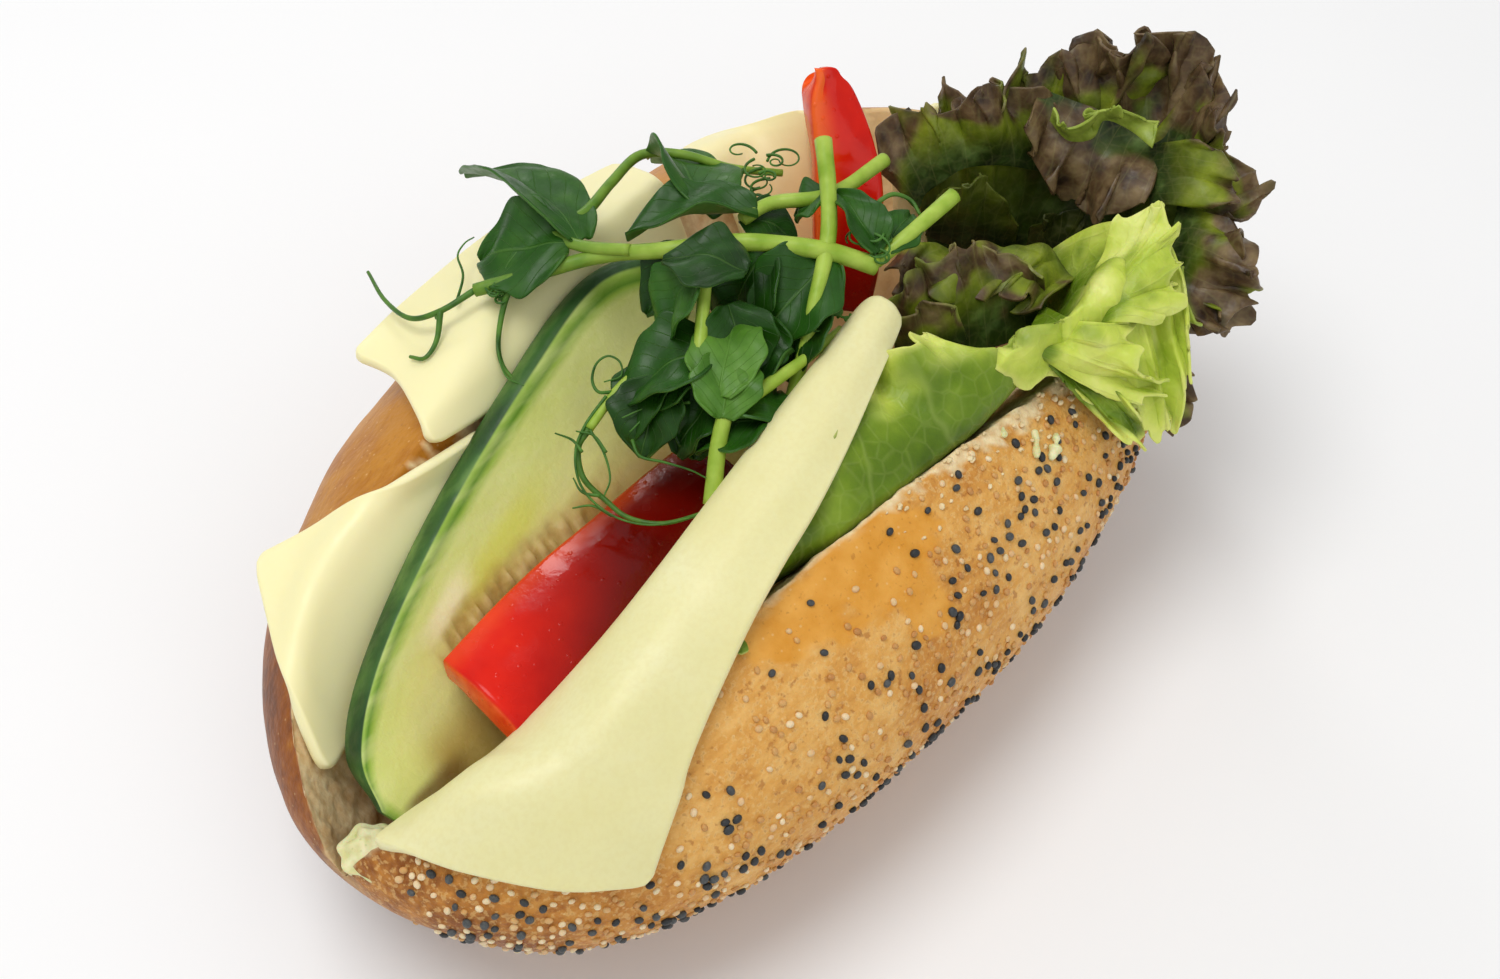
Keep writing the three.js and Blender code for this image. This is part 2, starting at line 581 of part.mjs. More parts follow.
function peaShoots() {
  const stems = STEMS.map((points) => tube(points, STEM));
  const thinStems = THIN_STEMS.map((points) => tube(points, THIN_STEM));
  const tendrils = TENDRILS.map((points) => tube(points, TENDRIL));
  const leaves = SHOOT_LEAVES.map(foldedLeaf);
  const heap = [...stems, ...thinStems, ...tendrils, ...leaves].reduce((whole, piece) => whole.add(piece));
  return [{ name: 'pea_shoots', look: COLOURS.shoot, solid: heap }];
}

// Soft herb spread that wells out where the slit meets the near end
function herbSpread() {
  const geometry = new THREE.IcosahedronGeometry(1, SPREAD.detail);
  const position = geometry.attributes.position;
  for (let i = 0; i < position.count; i++) {
    const p = new THREE.Vector3().fromBufferAttribute(position, i).normalize();
    const lumps = SPREAD.lumps * Math.sin(SPREAD.along * p.x + SPREAD.shift) * Math.sin(SPREAD.across * p.y);
    const uneven = 1 + lumps + SPREAD.bumps * Math.sin(SPREAD.up * p.z);
    const place = p.multiply(vector(SPREAD.halfSize)).multiplyScalar(uneven).add(vector(SPREAD.middle));
    position.setXYZ(i, place.x, place.y, place.z);
  }
  return [{ name: 'herb_spread', look: COLOURS.spread, solid: solidOf(geometry) }];
}

// How thickly the crust carries seeds: none on the left half, few at the right rim, most low down
function seedDensity(p) {
  const height = (p.z - ROLL.middle) / ROLL.halfHeight;
  const side = THREE.MathUtils.smoothstep(-p.y, SEEDED.from, SEEDED.full);
  const low = THREE.MathUtils.clamp(SEEDED.atMiddle - SEEDED.thinning * height, SEEDED.fewest, 1);
  const bare = Math.exp(-((p.x - BARE_SPOT.x) ** 2 + (p.y - BARE_SPOT.y) ** 2) / BARE_SPOT.spread);
  return side * low * (1 - BARE_SPOT.share * bare);
}

function withSeeds(bread, keepClear) {
  const draw = randomDraws(SEED.first);
  const places = [];
  for (let i = 0; i < SEED.draws && places.length < SEED.count; i++) {
    const angle = 2 * Math.PI * draw();
    const p = new THREE.Vector3(2 * draw() - 1, 0, 0);
    const ring = Math.sqrt(1 - p.x * p.x);
    p.y = ring * Math.cos(angle);
    p.z = ring * Math.sin(angle);
    const place = crustPoint(p);
    const chance = draw();
    if (place.z < SEEDED.lowest || chance > seedDensity(place)) continue;
    if (place.y > slitAt(place.x).rightRim.y - SEEDED.rimClear && place.z > ROLL.middle) continue;
    if (places.some((other) => other.distanceTo(place) < SEED.spacing)) continue;
    places.push(place);
  }
  const centre = new THREE.Vector3(0, 0, ROLL.middle);
  return places.reduce((whole, place) => {
    const outward = place.clone().sub(centre).divide(
      new THREE.Vector3(ROLL.halfLength ** 2, ROLL.rightHalfWidth ** 2, ROLL.halfHeight ** 2)).normalize();
    const seed = new THREE.IcosahedronGeometry(SEED.radius, 0);
    seed.scale(1, 1, SEED.flatness);
    seed.applyQuaternion(new THREE.Quaternion().setFromUnitVectors(new THREE.Vector3(0, 0, 1), outward));
    const centred = place.clone().addScaledVector(outward, -SEED.sink);
    seed.translate(centred.x, centred.y, centred.z);
    const solid = solidOf(seed);
    return solid.intersect(keepClear).isEmpty() ? whole.add(solid) : whole;
  }, bread);
}

function joined(pieces) {
  return pieces.map((piece) => piece.solid).reduce((whole, solid) => whole.add(solid));
}

const covered = joined([...cheeseSlices(GAP), ...lettuceLeaves(GAP)]);
const bread = withSeeds(loaf().subtract(slit()), covered);
addPiece('bread_roll', bread, COLOURS.crust);

// Each filling is cut by what is there before it, grown by the gap that they keep
let taken = loaf(GAP).subtract(slit(GAP)).add(bread);
for (const make of [pepperStrips, cheeseSlices, cucumberSlice, lettuceLeaves, peaShoots, herbSpread]) {
  const rooms = make(GAP);
  make().forEach(({ name, look, solid }, i) => {
    addPiece(name, solid.subtract(taken), look);
    taken = taken.add(rooms[i].solid);
  });
}

export default group;
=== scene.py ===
import itertools
import math
from types import SimpleNamespace as Sizes

import bpy
import numpy as np
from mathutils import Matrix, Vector


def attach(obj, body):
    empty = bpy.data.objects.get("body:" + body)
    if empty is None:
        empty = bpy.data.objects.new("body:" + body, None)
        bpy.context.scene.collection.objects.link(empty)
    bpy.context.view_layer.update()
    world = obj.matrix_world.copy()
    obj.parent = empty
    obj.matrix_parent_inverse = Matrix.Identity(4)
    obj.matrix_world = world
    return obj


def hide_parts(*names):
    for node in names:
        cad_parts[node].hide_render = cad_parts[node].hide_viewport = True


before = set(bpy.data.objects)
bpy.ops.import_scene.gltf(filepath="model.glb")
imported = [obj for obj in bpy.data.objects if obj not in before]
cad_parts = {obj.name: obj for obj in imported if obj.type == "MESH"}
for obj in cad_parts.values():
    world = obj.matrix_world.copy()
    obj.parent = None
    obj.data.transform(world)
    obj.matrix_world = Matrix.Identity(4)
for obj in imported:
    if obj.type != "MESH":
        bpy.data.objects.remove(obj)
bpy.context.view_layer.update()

# Shapes are worked out in millimetres: X along the roll, Y across it, Z up from the spot that it rests on
MILLIMETRE = 0.001

ROLL = Sizes(
    half_length=94.5, left_half_width=58, right_half_width=56.3, right_flare=0.055, half_height=34,
    middle=32, near_right_fullness=0.08, near_left_fullness=0.02, far_fullness=0.04,
)

# The crust's slow unevenness, as shares of the roll's size, and how fast it changes along, across and up
SWELL = Sizes(depth=0.006, along=5, across=4, shift=1)
RIPPLE = Sizes(depth=0.004, along=9, up=6)

# The roll is cut open from above, right through both ends, deepest at half its length.
# Its left rim bends inwards most at neck_at
SLIT = Sizes(
    floor=12, end_rise=22, end_power=4, floor_half_width=5, floor_share=0.4, reach=96, widest=0.995,
    right_rim=36, right_skew=0.17, right_power=4, left_rim=33, left_power_near=6, left_power_far=3.5,
    neck_at=-50, neck_spread=20, neck_depth=3.5, least_depth=1,
)

CHEESE = Sizes(
    thickness=2.0, rim=0.8, lift=1.6, slope_run=1, steepest=2, lines=13, columns=90, rows=120,
    uneven=0.3, uneven_size=17,
)
CUCUMBER = Sizes(
    thickness=6.5, bulge=1.2, far_bulge=3.2, bulge_power=1.5, end_share=0.35, taper_length=0.16,
    skin_squareness=0.6,
)
PEPPER = Sizes(
    thickness=5.5, rim=1.1, squareness=3.5, columns=60, rows=130,
    uneven=0.3, uneven_size=11, fine=0.1, fine_size=4,
)

# How far from a place, as a share of a surface or edge, the two points lie that give its direction
STEP = 0.02

# Lengths below this one count as this one where something is divided by them
LEAST_LENGTH = 1e-9


# Sums on many points at once

def unit(vectors):
    """Vectors with a length of 1"""
    return vectors / np.maximum(np.linalg.norm(vectors, axis=-1, keepdims=True), LEAST_LENGTH)


def ease(low, high, values):
    """0 below low, 1 above high and a smooth step between them"""
    share = np.clip((values - low) / (high - low), 0, 1)
    return share * share * (3 - 2 * share)


def hump(values, middle, spread):
    """1 at the middle, falling off smoothly to both sides"""
    return np.exp(-((values - middle) / spread) ** 2)


# Random values, the numbers that pick one for a lattice's corner, and how far two seeds' noises are apart
LATTICE = np.random.default_rng(11).random(8192) * 2 - 1
LATTICE_MIX = (73856093, 19349663, 83492791)
SEED_SHIFT = 37.7


def noise(points, size, seed=0):
    """Smooth random values between -1 and 1 that change over that many millimetres"""
    place = np.asarray(points) / size + SEED_SHIFT * seed
    cell = np.floor(place).astype(np.int64)
    part = place - cell
    blend = part * part * (3 - 2 * part)
    total = np.zeros(place.shape[:-1])
    for corner in itertools.product((0, 1), repeat=3):
        key = np.bitwise_xor.reduce((cell + corner) * LATTICE_MIX, axis=-1)
        total += np.prod(np.where(corner, blend, 1 - blend), axis=-1) * LATTICE[key % len(LATTICE)]
    return total


def rough(points, size, levels, seed=0):
    """Noise with finer and weaker noise on it"""
    return sum(noise(points, size / 2 ** level, seed + level) / 2 ** level for level in range(levels))


def spline_weights(count, places):
    """How much each of count points weighs in a smooth line through them, at places from 0 to 1"""
    last = count - 1
    place = np.clip(places, 0, 1) * last
    start = np.minimum(place.astype(int), last - 1)
    u = place - start
    shares = np.stack([
        -u + 2 * u ** 2 - u ** 3,
        2 - 5 * u ** 2 + 3 * u ** 3,
        u + 4 * u ** 2 - 3 * u ** 3,
        -u ** 2 + u ** 3,
    ], -1) / 2
    padded = np.zeros(place.shape + (count + 2,))
    np.put_along_axis(padded, start[..., None] + np.arange(4), shares, -1)
    weights = padded[..., 1:-1].copy()
    weights[..., 0] += 2 * padded[..., 0]
    weights[..., 1] -= padded[..., 0]
    weights[..., -1] += 2 * padded[..., -1]
    weights[..., -2] -= padded[..., -1]
    return weights


def smooth(points, places):
    """Places from 0 to 1 on a smooth line through points"""
    return spline_weights(len(points), np.asarray(places, float)) @ np.asarray(points, float)


def patch(rows):
    """A surface through rows of points: t runs from row to row, s along each row"""
    rows = np.asarray(rows, float)

    def place(s, t):
        across = spline_weights(rows.shape[1], s)
        along = spline_weights(rows.shape[0], t)
        return np.einsum("...r,...c,rcd->...d", along, across, rows)

    return place


def heading(line, places):
    """Direction of a line, which is given as a function of places from 0 to 1"""
    return unit(line(np.minimum(1, places + STEP)) - line(np.maximum(0, places - STEP)))


def distances(line):
    """How far along a line of points each of them lies"""
    return np.concatenate([[0], np.cumsum(np.linalg.norm(np.diff(line, axis=0), axis=-1))])


def mean_lengths(grid):
    """Mean length of a grid's rows and of its columns"""
    return [np.linalg.norm(np.diff(grid, axis=axis), axis=-1).sum(axis).mean() for axis in (1, 0)]


# Solids as grids of points

class Form:
    """Points, faces, and numbers at the points for the colours to follow"""

    def __init__(self, points, faces, **values):
        self.points = np.asarray(points, float).reshape(-1, 3)
        self.faces = [face for part in faces for face in np.asarray(part).tolist()]
        self.values = {name: np.broadcast_to(value, len(self.points)) for name, value in values.items()}


def joined(forms):
    """Several forms as one"""
    names = dict.fromkeys(name for form in forms for name in form.values)
    starts = np.cumsum([0] + [len(form.points) for form in forms])
    whole = Form(np.concatenate([form.points for form in forms]), [])
    whole.faces = [
        [i + start for i in face] for form, start in zip(forms, starts.tolist()) for face in form.faces
    ]
    whole.values = {
        name: np.concatenate([form.values.get(name, np.zeros(len(form.points))) for form in forms])
        for name in names
    }
    return whole


def piece(name, form, look, slot, *nodes):
    """Makes an object of a form, which takes the place of the named nodes"""
    mesh = bpy.data.meshes.new(name)
    mesh.from_pydata((form.points * MILLIMETRE).tolist(), [], form.faces)
    for key, numbers in form.values.items():
        mesh.attributes.new(key, "FLOAT", "POINT").data.foreach_set("value", np.array(numbers, np.float32))
    mesh.shade_smooth()
    mesh.materials.append(look)
    made = bpy.data.objects.new(name, mesh)
    bpy.context.collection.objects.link(made)
    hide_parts(*nodes)
    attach(made, "root")


def grid_quads(index):
    """Four-sided faces between the points of a grid, where index holds each point's number"""
    return np.stack([index[:-1, :-1], index[:-1, 1:], index[1:, 1:], index[1:, :-1]], -1).reshape(-1, 4)


def side_faces(index):
    """Faces of one side of a sheet, with its four corner cells cut from the corner to the inner point"""
    quads = grid_quads(index)
    cells, wide = len(quads), index.shape[1] - 1
    inner_at = {0: 2, wide - 1: 3, cells - wide: 1, cells - 1: 0}
    turned_quads = [np.roll(quads[cell], -at) for cell, at in inner_at.items()]
    halves = np.array([quad[part] for quad in turned_quads for part in ([0, 1, 2], [0, 2, 3])])
    return [np.delete(quads, list(inner_at), axis=0), halves]


def with_tips(value, shape):
    """A value for every point of some rings, and for the tips that of the first point of the end rings"""
    full = np.broadcast_to(value, shape)
    return np.append(full.ravel(), [full[0, 0], full[-1, 0]])


def rings_form(rings, tips, **values):
    """A closed form of rings of points, with a fan of faces to a tip at either end"""
    index = np.arange(rings.shape[0] * rings.shape[1]).reshape(rings.shape[:2])
    closed = np.concatenate([index, index[:, :1]], 1)
    start, end = (np.full(rings.shape[1], index.size + k) for k in (0, 1))
    first = np.stack([closed[0, 1:], closed[0, :-1], start], -1)
    last = np.stack([closed[-1, :-1], closed[-1, 1:], end], -1)
    values = {name: with_tips(value, rings.shape[:2]) for name, value in values.items()}
    return Form(np.concatenate([rings.reshape(-1, 3), tips]), [grid_quads(closed), first, last], **values)


def grid_normals(grid):
    """The way out of a grid's surface at each point"""
    return unit(np.cross(np.gradient(grid, axis=1), np.gradient(grid, axis=0)))


# Lines of points over a sheet's rounded rim, and the largest share of its width that a rim takes
RIM = Sizes(lines=5, most=0.3)


def rim_places(count, share, squareness):
    """Places from 0 to 1, closer together over the rounded rims at either end"""
    turn = np.linspace(0, math.pi / 2, RIM.lines + 1)[:-1]
    rim = share * (1 - np.cos(turn) ** (2 / squareness))
    return np.concatenate([rim, np.linspace(share, 1 - share, count), 1 - rim[::-1]])


def rim_profile(places, share, squareness):
    """Height of a rounded rim: 0 at either end and 1 further in"""
    inward = np.clip(np.minimum(places, 1 - places) / share, 0, 1)
    return (1 - (1 - inward) ** squareness) ** (1 / squareness)


def sheet(place, columns, rows, thickness, rim, squareness=2.0, **values):
    """A closed sheet with rounded rims about the surface place(s, t), s across it and t along it"""
    coarse = np.meshgrid(np.linspace(0, 1, 30), np.linspace(0, 1, 30))
    share_s, share_t = (min(rim / size, RIM.most) for size in mean_lengths(place(*coarse)))
    s, t = np.meshgrid(rim_places(columns, share_s, squareness), rim_places(rows, share_t, squareness))
    middle = place(s, t)
    profile = np.minimum(rim_profile(s, share_s, squareness), rim_profile(t, share_t, squareness))
    offset = grid_normals(middle) * (thickness / 2 * profile)[..., None]
    front = np.arange(s.size).reshape(s.shape)
    back = front.copy()
    inner = np.zeros(s.shape, bool)
    inner[1:-1, 1:-1] = True
    back[inner] = s.size + np.arange(inner.sum())
    points = np.concatenate([(middle + offset).reshape(-1, 3), (middle - offset)[inner]])
    stretch = {
        "s": np.concatenate([s.ravel(), s[inner]]),
        "t": np.concatenate([t.ravel(), t[inner]]),
        "depth": np.concatenate([profile.ravel(), -profile[inner]]),
    }
    faces = side_faces(front) + [part[:, ::-1] for part in side_faces(back)]
    return Form(points, faces, **stretch, **values)


def tube(route, radius, sides, **values):
    """A round stem with closed ends along a route of points, radius a number or one for each point"""
    ahead = unit(np.gradient(route, axis=0))
    side = np.cross(ahead[0], (0.3, 0.2, 1))
    sides_along = []
    for way in ahead:
        side = side - way * (side @ way)
        side = side / np.linalg.norm(side)
        sides_along.append(side)
    sideways = np.array(sides_along)
    upward = np.cross(ahead, sideways)
    turn = np.linspace(0, 2 * math.pi, sides, endpoint=False)[:, None]
    wide = np.broadcast_to(radius, len(route))[:, None, None]
    rings = route[:, None] + wide * (np.cos(turn) * sideways[:, None] + np.sin(turn) * upward[:, None])
    return rings_form(rings, route[[0, -1]], **values)


def ball(level):
    """Points and faces of a unit ball made of near-even triangles"""
    golden = (1 + 5 ** 0.5) / 2
    points = [[a, b * golden, 0] for a in (-1, 1) for b in (-1, 1)]
    points += [[0, a, b * golden] for a in (-1, 1) for b in (-1, 1)]
    points += [[b * golden, 0, a] for a in (-1, 1) for b in (-1, 1)]
    points = unit(np.array(points, float))
    apart = np.linalg.norm(points[:, None] - points[None], axis=-1)
    over_an_edge = np.sort(apart[0])[1] * 1.01
    faces = []
    for a, b, c in itertools.combinations(range(len(points)), 3):
        if max(apart[a, b], apart[b, c], apart[c, a]) < over_an_edge:
            outward = np.dot(np.cross(points[b] - points[a], points[c] - points[a]), points[a]) > 0
            faces.append((a, b, c) if outward else (a, c, b))
    for _ in range(level):
        points, faces = split_once(points, faces)
    return points, np.array(faces)


def split_once(points, faces):
    """Cuts each triangle on the unit ball into four"""
    points = list(points)
    middles = {}

    def middle(a, b):
        key = (min(a, b), max(a, b))
        if key not in middles:
            middles[key] = len(points)
            points.append(unit(points[a] + points[b]))
        return middles[key]

    smaller = []
    for a, b, c in faces:
        ab, bc, ca = middle(a, b), middle(b, c), middle(c, a)
        smaller += [(a, ab, ca), (ab, b, bc), (ca, bc, c), (ab, bc, ca)]
    return np.array(points), smaller


# Surfaces' shader nodes

def paint(red, green, blue):
    """A colour from screen values of 0 to 255"""
    shares = [v / 255 / 12.92 if v < 10 else ((v / 255 + 0.055) / 1.055) ** 2.4 for v in (red, green, blue)]
    return (*shares, 1)


class Look:
    """One material, built node by node. Positions in it are in millimetres."""

    def __init__(self, name, **fixed):
        self.material = bpy.data.materials.new(name)
        self.material.use_nodes = True
        self.nodes = self.material.node_tree.nodes
        self.links = self.material.node_tree.links
        self.shader = self.nodes["Principled BSDF"]
        for socket, value in fixed.items():
            self.shader.inputs[socket.replace("_", " ").title().replace("Ior", "IOR")].default_value = value
        where = self.nodes.new("ShaderNodeTexCoord")
        scale = self.nodes.new("ShaderNodeVectorMath")
        scale.operation = "SCALE"
        scale.inputs["Scale"].default_value = 1 / MILLIMETRE
        self.links.new(where.outputs["Object"], scale.inputs[0])
        self.place = scale.outputs[0]

    def put(self, value, socket):
        """Links or sets a socket; a colour is given as screen values of 0 to 255"""
        if isinstance(value, bpy.types.NodeSocket):
            self.links.new(value, socket)
        else:
            socket.default_value = paint(*value) if isinstance(value, tuple) else value

    def number(self, name):
        node = self.nodes.new("ShaderNodeAttribute")
        node.attribute_name = name
        return node.outputs["Fac"]

    def noise(self, size, detail, stretch=(1, 1, 1)):
        """Random values of 0 to 1 that change over that many millimetres"""
        scale = self.nodes.new("ShaderNodeVectorMath")
        scale.operation = "MULTIPLY"
        scale.inputs[1].default_value = stretch
        self.links.new(self.place, scale.inputs[0])
        node = self.nodes.new("ShaderNodeTexNoise")
        node.inputs["Scale"].default_value = 1 / size
        node.inputs["Detail"].default_value = detail
        self.links.new(scale.outputs[0], node.inputs["Vector"])
        return node.outputs["Fac"]

    def cells(self, size, feature="F1"):
        """Distance from scattered points, or from the edges between their cells"""
        node = self.nodes.new("ShaderNodeTexVoronoi")
        node.feature = feature
        node.inputs["Scale"].default_value = 1 / size
        self.links.new(self.place, node.inputs["Vector"])
        return node.outputs["Distance"]

    def between(self, value, low, high, to_low=0.0, to_high=1.0):
        """A smooth step from to_low at low to to_high at high"""
        node = self.nodes.new("ShaderNodeMapRange")
        node.interpolation_type = "SMOOTHSTEP"
        sockets = ("Value", "From Min", "From Max", "To Min", "To Max")
        for socket, given in zip(sockets, (value, low, high, to_low, to_high)):
            self.put(given, node.inputs[socket])
        return node.outputs["Result"]

    def sum(self, operation, first, second=0.0):
        node = self.nodes.new("ShaderNodeMath")
        node.operation = operation
        self.put(first, node.inputs[0])
        self.put(second, node.inputs[1])
        return node.outputs[0]

    def plus(self, first, second):
        return self.sum("ADD", first, second)

    def minus(self, first, second):
        return self.sum("SUBTRACT", first, second)

    def times(self, first, second):
        return self.sum("MULTIPLY", first, second)

    def larger(self, first, second):
        return self.sum("MAXIMUM", first, second)

    def size(self, value):
        return self.sum("ABSOLUTE", value)

    def near(self, name, middle, reach, full):
        """1 where a form's number is within full of the middle, 0 where it is beyond reach"""
        return self.between(self.size(self.minus(self.number(name), middle)), reach, full)

    def mix(self, share, first, second):
        node = self.nodes.new("ShaderNodeMix")
        node.data_type = "RGBA"
        self.put(share, node.inputs["Factor"])
        self.put(first, node.inputs[6])
        self.put(second, node.inputs[7])
        return node.outputs[2]

    def ramp(self, value, *stops):
        node = self.nodes.new("ShaderNodeValToRGB")
        elements = node.color_ramp.elements
        while len(elements) < len(stops):
            elements.new(0.5)
        for element, (place, colour) in zip(elements, stops):
            element.position = place
            element.color = paint(*colour)
        self.put(value, node.inputs["Fac"])
        return node.outputs["Color"]

    def lines(self, value, count, width, wobble):
        """1 on count lines of equal values and 0 between them"""
        phase = self.plus(self.times(value, count), self.times(self.noise(9, 1), wobble))
        gap = self.size(self.minus(self.sum("FRACT", phase), 0.5))
        return self.between(gap, 0.5 - width, 0.5)

    def bump(self, height, depth, strength=1.0):
        """Relief of that many millimetres over what is there already"""
        node = self.nodes.new("ShaderNodeBump")
        node.inputs["Strength"].default_value = strength
        node.inputs["Distance"].default_value = depth * MILLIMETRE
        self.put(height, node.inputs["Height"])
        before = self.shader.inputs["Normal"]
        if before.is_linked:
            self.links.new(before.links[0].from_socket, node.inputs["Normal"])
        self.links.new(node.outputs["Normal"], before)

    def set(self, socket, value):
        self.put(value, self.shader.inputs[socket])


# The bread

def fullness(along, across):
    """Seen from above the roll is an ellipse, filled out beside its ends and most at the near right"""
    reach = np.maximum(np.hypot(along, across), LEAST_LENGTH)
    near = np.where(across < 0, ROLL.near_right_fullness, ROLL.near_left_fullness)
    beside_end = 4 * (along * across) ** 2 * np.abs(along) / reach ** 5
    return 1 + np.where(along < 0, near, ROLL.far_fullness) * beside_end


def half_width(along, side):
    """Half the roll's width on one side, at a share of its half length"""
    return np.where(side < 0, ROLL.right_half_width * (1 + ROLL.right_flare * along), ROLL.left_half_width)


def crust_height(x, y):
    """Height of the upper crust before the roll is cut"""
    along = x / ROLL.half_length
    across = y / half_width(along, y)
    reach = np.hypot(along, across) / fullness(along, across)
    return ROLL.middle + ROLL.half_height * np.sqrt(np.maximum(0, 1 - reach * reach))


def crust_point(p):
    """The slightly uneven crust in the directions p, points on the unit ball"""
    x, y, z = np.moveaxis(p, -1, 0)
    uneven = 1 + SWELL.depth * np.sin(SWELL.along * x + SWELL.shift) * np.cos(SWELL.across * y)
    uneven = uneven + RIPPLE.depth * np.sin(RIPPLE.along * x - RIPPLE.up * z)
    full = fullness(x, y)
    return np.stack([
        x * ROLL.half_length * full * uneven,
        y * half_width(x, y) * full * uneven,
        ROLL.middle + z * ROLL.half_height * uneven,
    ], -1)


def slit_rim(x, side):
    """How far across the roll the slit's rim lies on one side"""
    u = np.minimum(np.abs(x) / SLIT.reach, SLIT.widest)
    right = -SLIT.right_rim * (1 - u ** SLIT.right_power) - SLIT.right_skew * x * (1 - u * u)
    left = SLIT.left_rim * (1 - u ** np.where(x < 0, SLIT.left_power_near, SLIT.left_power_far))
    left = np.maximum(left - SLIT.neck_depth * hump(x, SLIT.neck_at, SLIT.neck_spread), 0)
    return np.where(side < 0, right, left)


def slit_floor(x):
    """Half width and height of the slit's floor"""
    u = np.minimum(np.abs(x) / SLIT.reach, SLIT.widest)
    half = np.minimum(SLIT.floor_share * slit_rim(x, 1), -SLIT.floor_share * slit_rim(x, -1))
    return np.minimum(SLIT.floor_half_width, half), SLIT.floor + SLIT.end_rise * u ** SLIT.end_power


def bread_top(x, y):
    """Height of the cut bread: the crust, or the slit's wall or floor where that is lower"""
    floor_half, floor = slit_floor(x)
    rim = slit_rim(x, y)
    floor_y = np.where(y < 0, -floor_half, floor_half)
    rim_height = np.maximum(crust_height(x, rim), floor + SLIT.least_depth)
    wall = floor + (y - floor_y) / (rim - floor_y) * (rim_height - floor)
    return np.minimum(crust_height(x, y), np.maximum(wall, floor))


def resting_height(x, y):
    """Height at which the middle of a slice lies clear of the bread"""
    height = bread_top(x, y)
    run = CHEESE.slope_run
    slope = np.hypot(bread_top(x + run, y) - height, bread_top(x, y + run) - height) / run
    return height + CHEESE.lift * np.hypot(1, np.minimum(slope, CHEESE.steepest))


# Points along and around the crust and across the slit, how near to the ends they go, and the share of the
# length over which the relief fades there
BREAD = Sizes(stations=270, around=250, wall=34, floor=8, end=0.9955, closing=0.05)

# The slit's torn rim, in millimetres: how far the crumb comes out over the crust, how much further on the
# right and how much less at a smooth place on the left
TEAR = Sizes(
    depth=0.7, wide=3.0, wide_start=(-14, -6), wide_end=(40, 30), smooth=6, smooth_at=-40,
    smooth_spread=24, even=0.6, size=2.6, edge=(-0.4, 0.6),
)

# Relief in millimetres: lumps of two sizes, wrinkles, deeper ones on the seeded half, and the crumb's pores
RELIEF = Sizes(
    lump=0.35, lump_size=17, small=0.22, small_size=7, wrinkle=0.05, seeded=0.12, seeded_fade=(0, 18),
    wrinkle_size=3.2, sunk=0.25, pore=0.4, pore_size=2.4, pore_sunk=0.2,
)

# How brown the crust is, with painted light and shade in it: paler at the left half's top as painted light,
# browner at the near end, browner low down as painted shade, browner towards the right half's far end partly
# as painted shade, and cloudy everywhere
BAKE_AND_SHADING = Sizes(
    usual=0.45, paler_top=0.3, cloud=0.22, cloud_size=13, small_cloud=0.12, small_size=5, near_end=0.4,
    near_fade=(-58, -88), low=0.2, low_fade=(0.1, -0.4), right_end=0.5, right_fade=(20, 70),
)

# Where across the roll its left half begins, and where along it the crumb is painted paler, as painted light
LEFT_HALF_FADE = (-6, 10)
LIT_CRUMB_FADE = (30, 44)

# Smooth golden patches of crust without seeds: middle, half size along, half size across
GOLD_PATCHES = (((-19, -38, 55), 12, 8), ((-17, -45, 49), 6, 6), ((-35, -35, 56), 9, 5))
GOLD_EDGE = Sizes(fade=0.16, wander=0.3, wander_size=5, fray=0.16, fray_size=1.6)

# How often the range in which the slit's rim is looked for is halved
RIM_SEARCH_STEPS = 24


def rim_turn(x_share, side):
    """Angle round the roll, up from its underside, where the crust meets the slit's rim on one side"""
    low = np.full(len(x_share), math.pi / 2)
    high = np.full(len(x_share), math.pi)
    for _ in range(RIM_SEARCH_STEPS):
        middle = (low + high) / 2
        point = crust_point(round_the_roll(x_share, side * middle))
        beyond = np.abs(point[:, 1]) > np.abs(slit_rim(point[:, 0], side))
        low, high = np.where(beyond, middle, low), np.where(beyond, high, middle)
    return (low + high) / 2


def round_the_roll(x_share, turn):
    """Points on the unit ball at a share of its length and an angle from its lowest line"""
    ring = np.sqrt(1 - x_share ** 2)
    return np.stack([x_share + 0 * turn, ring * np.sin(turn), -ring * np.cos(turn)], -1)


def left_share(points):
    """1 on the left half, 0 on the right one"""
    return ease(*LEFT_HALF_FADE, points[..., 1])


def crust_relief(points):
    """How far the crust stands in or out: low lumps, and wrinkles on the seeded half"""
    seeded = ease(*RELIEF.seeded_fade, -points[..., 1])
    lumps = RELIEF.lump * noise(points, RELIEF.lump_size, 1)
    lumps = lumps + RELIEF.small * noise(points, RELIEF.small_size, 2)
    wrinkles = (RELIEF.wrinkle + RELIEF.seeded * seeded) * rough(points, RELIEF.wrinkle_size, 2, 5)
    return lumps + wrinkles - RELIEF.sunk


def gold_share(points):
    """1 on the golden patches, with a frayed edge"""
    share = np.full(points.shape[:-1], -1.0)
    for (x, y, z), along, across in GOLD_PATCHES:
        dx = (points[..., 0] - x) / along
        dy = np.hypot(points[..., 1] - y, points[..., 2] - z) / across
        share = np.maximum(share, 1 - np.hypot(dx, dy))
    share = share + GOLD_EDGE.wander * noise(points, GOLD_EDGE.wander_size, 9)
    return ease(0, GOLD_EDGE.fade, share + GOLD_EDGE.fray * noise(points, GOLD_EDGE.fray_size, 10))


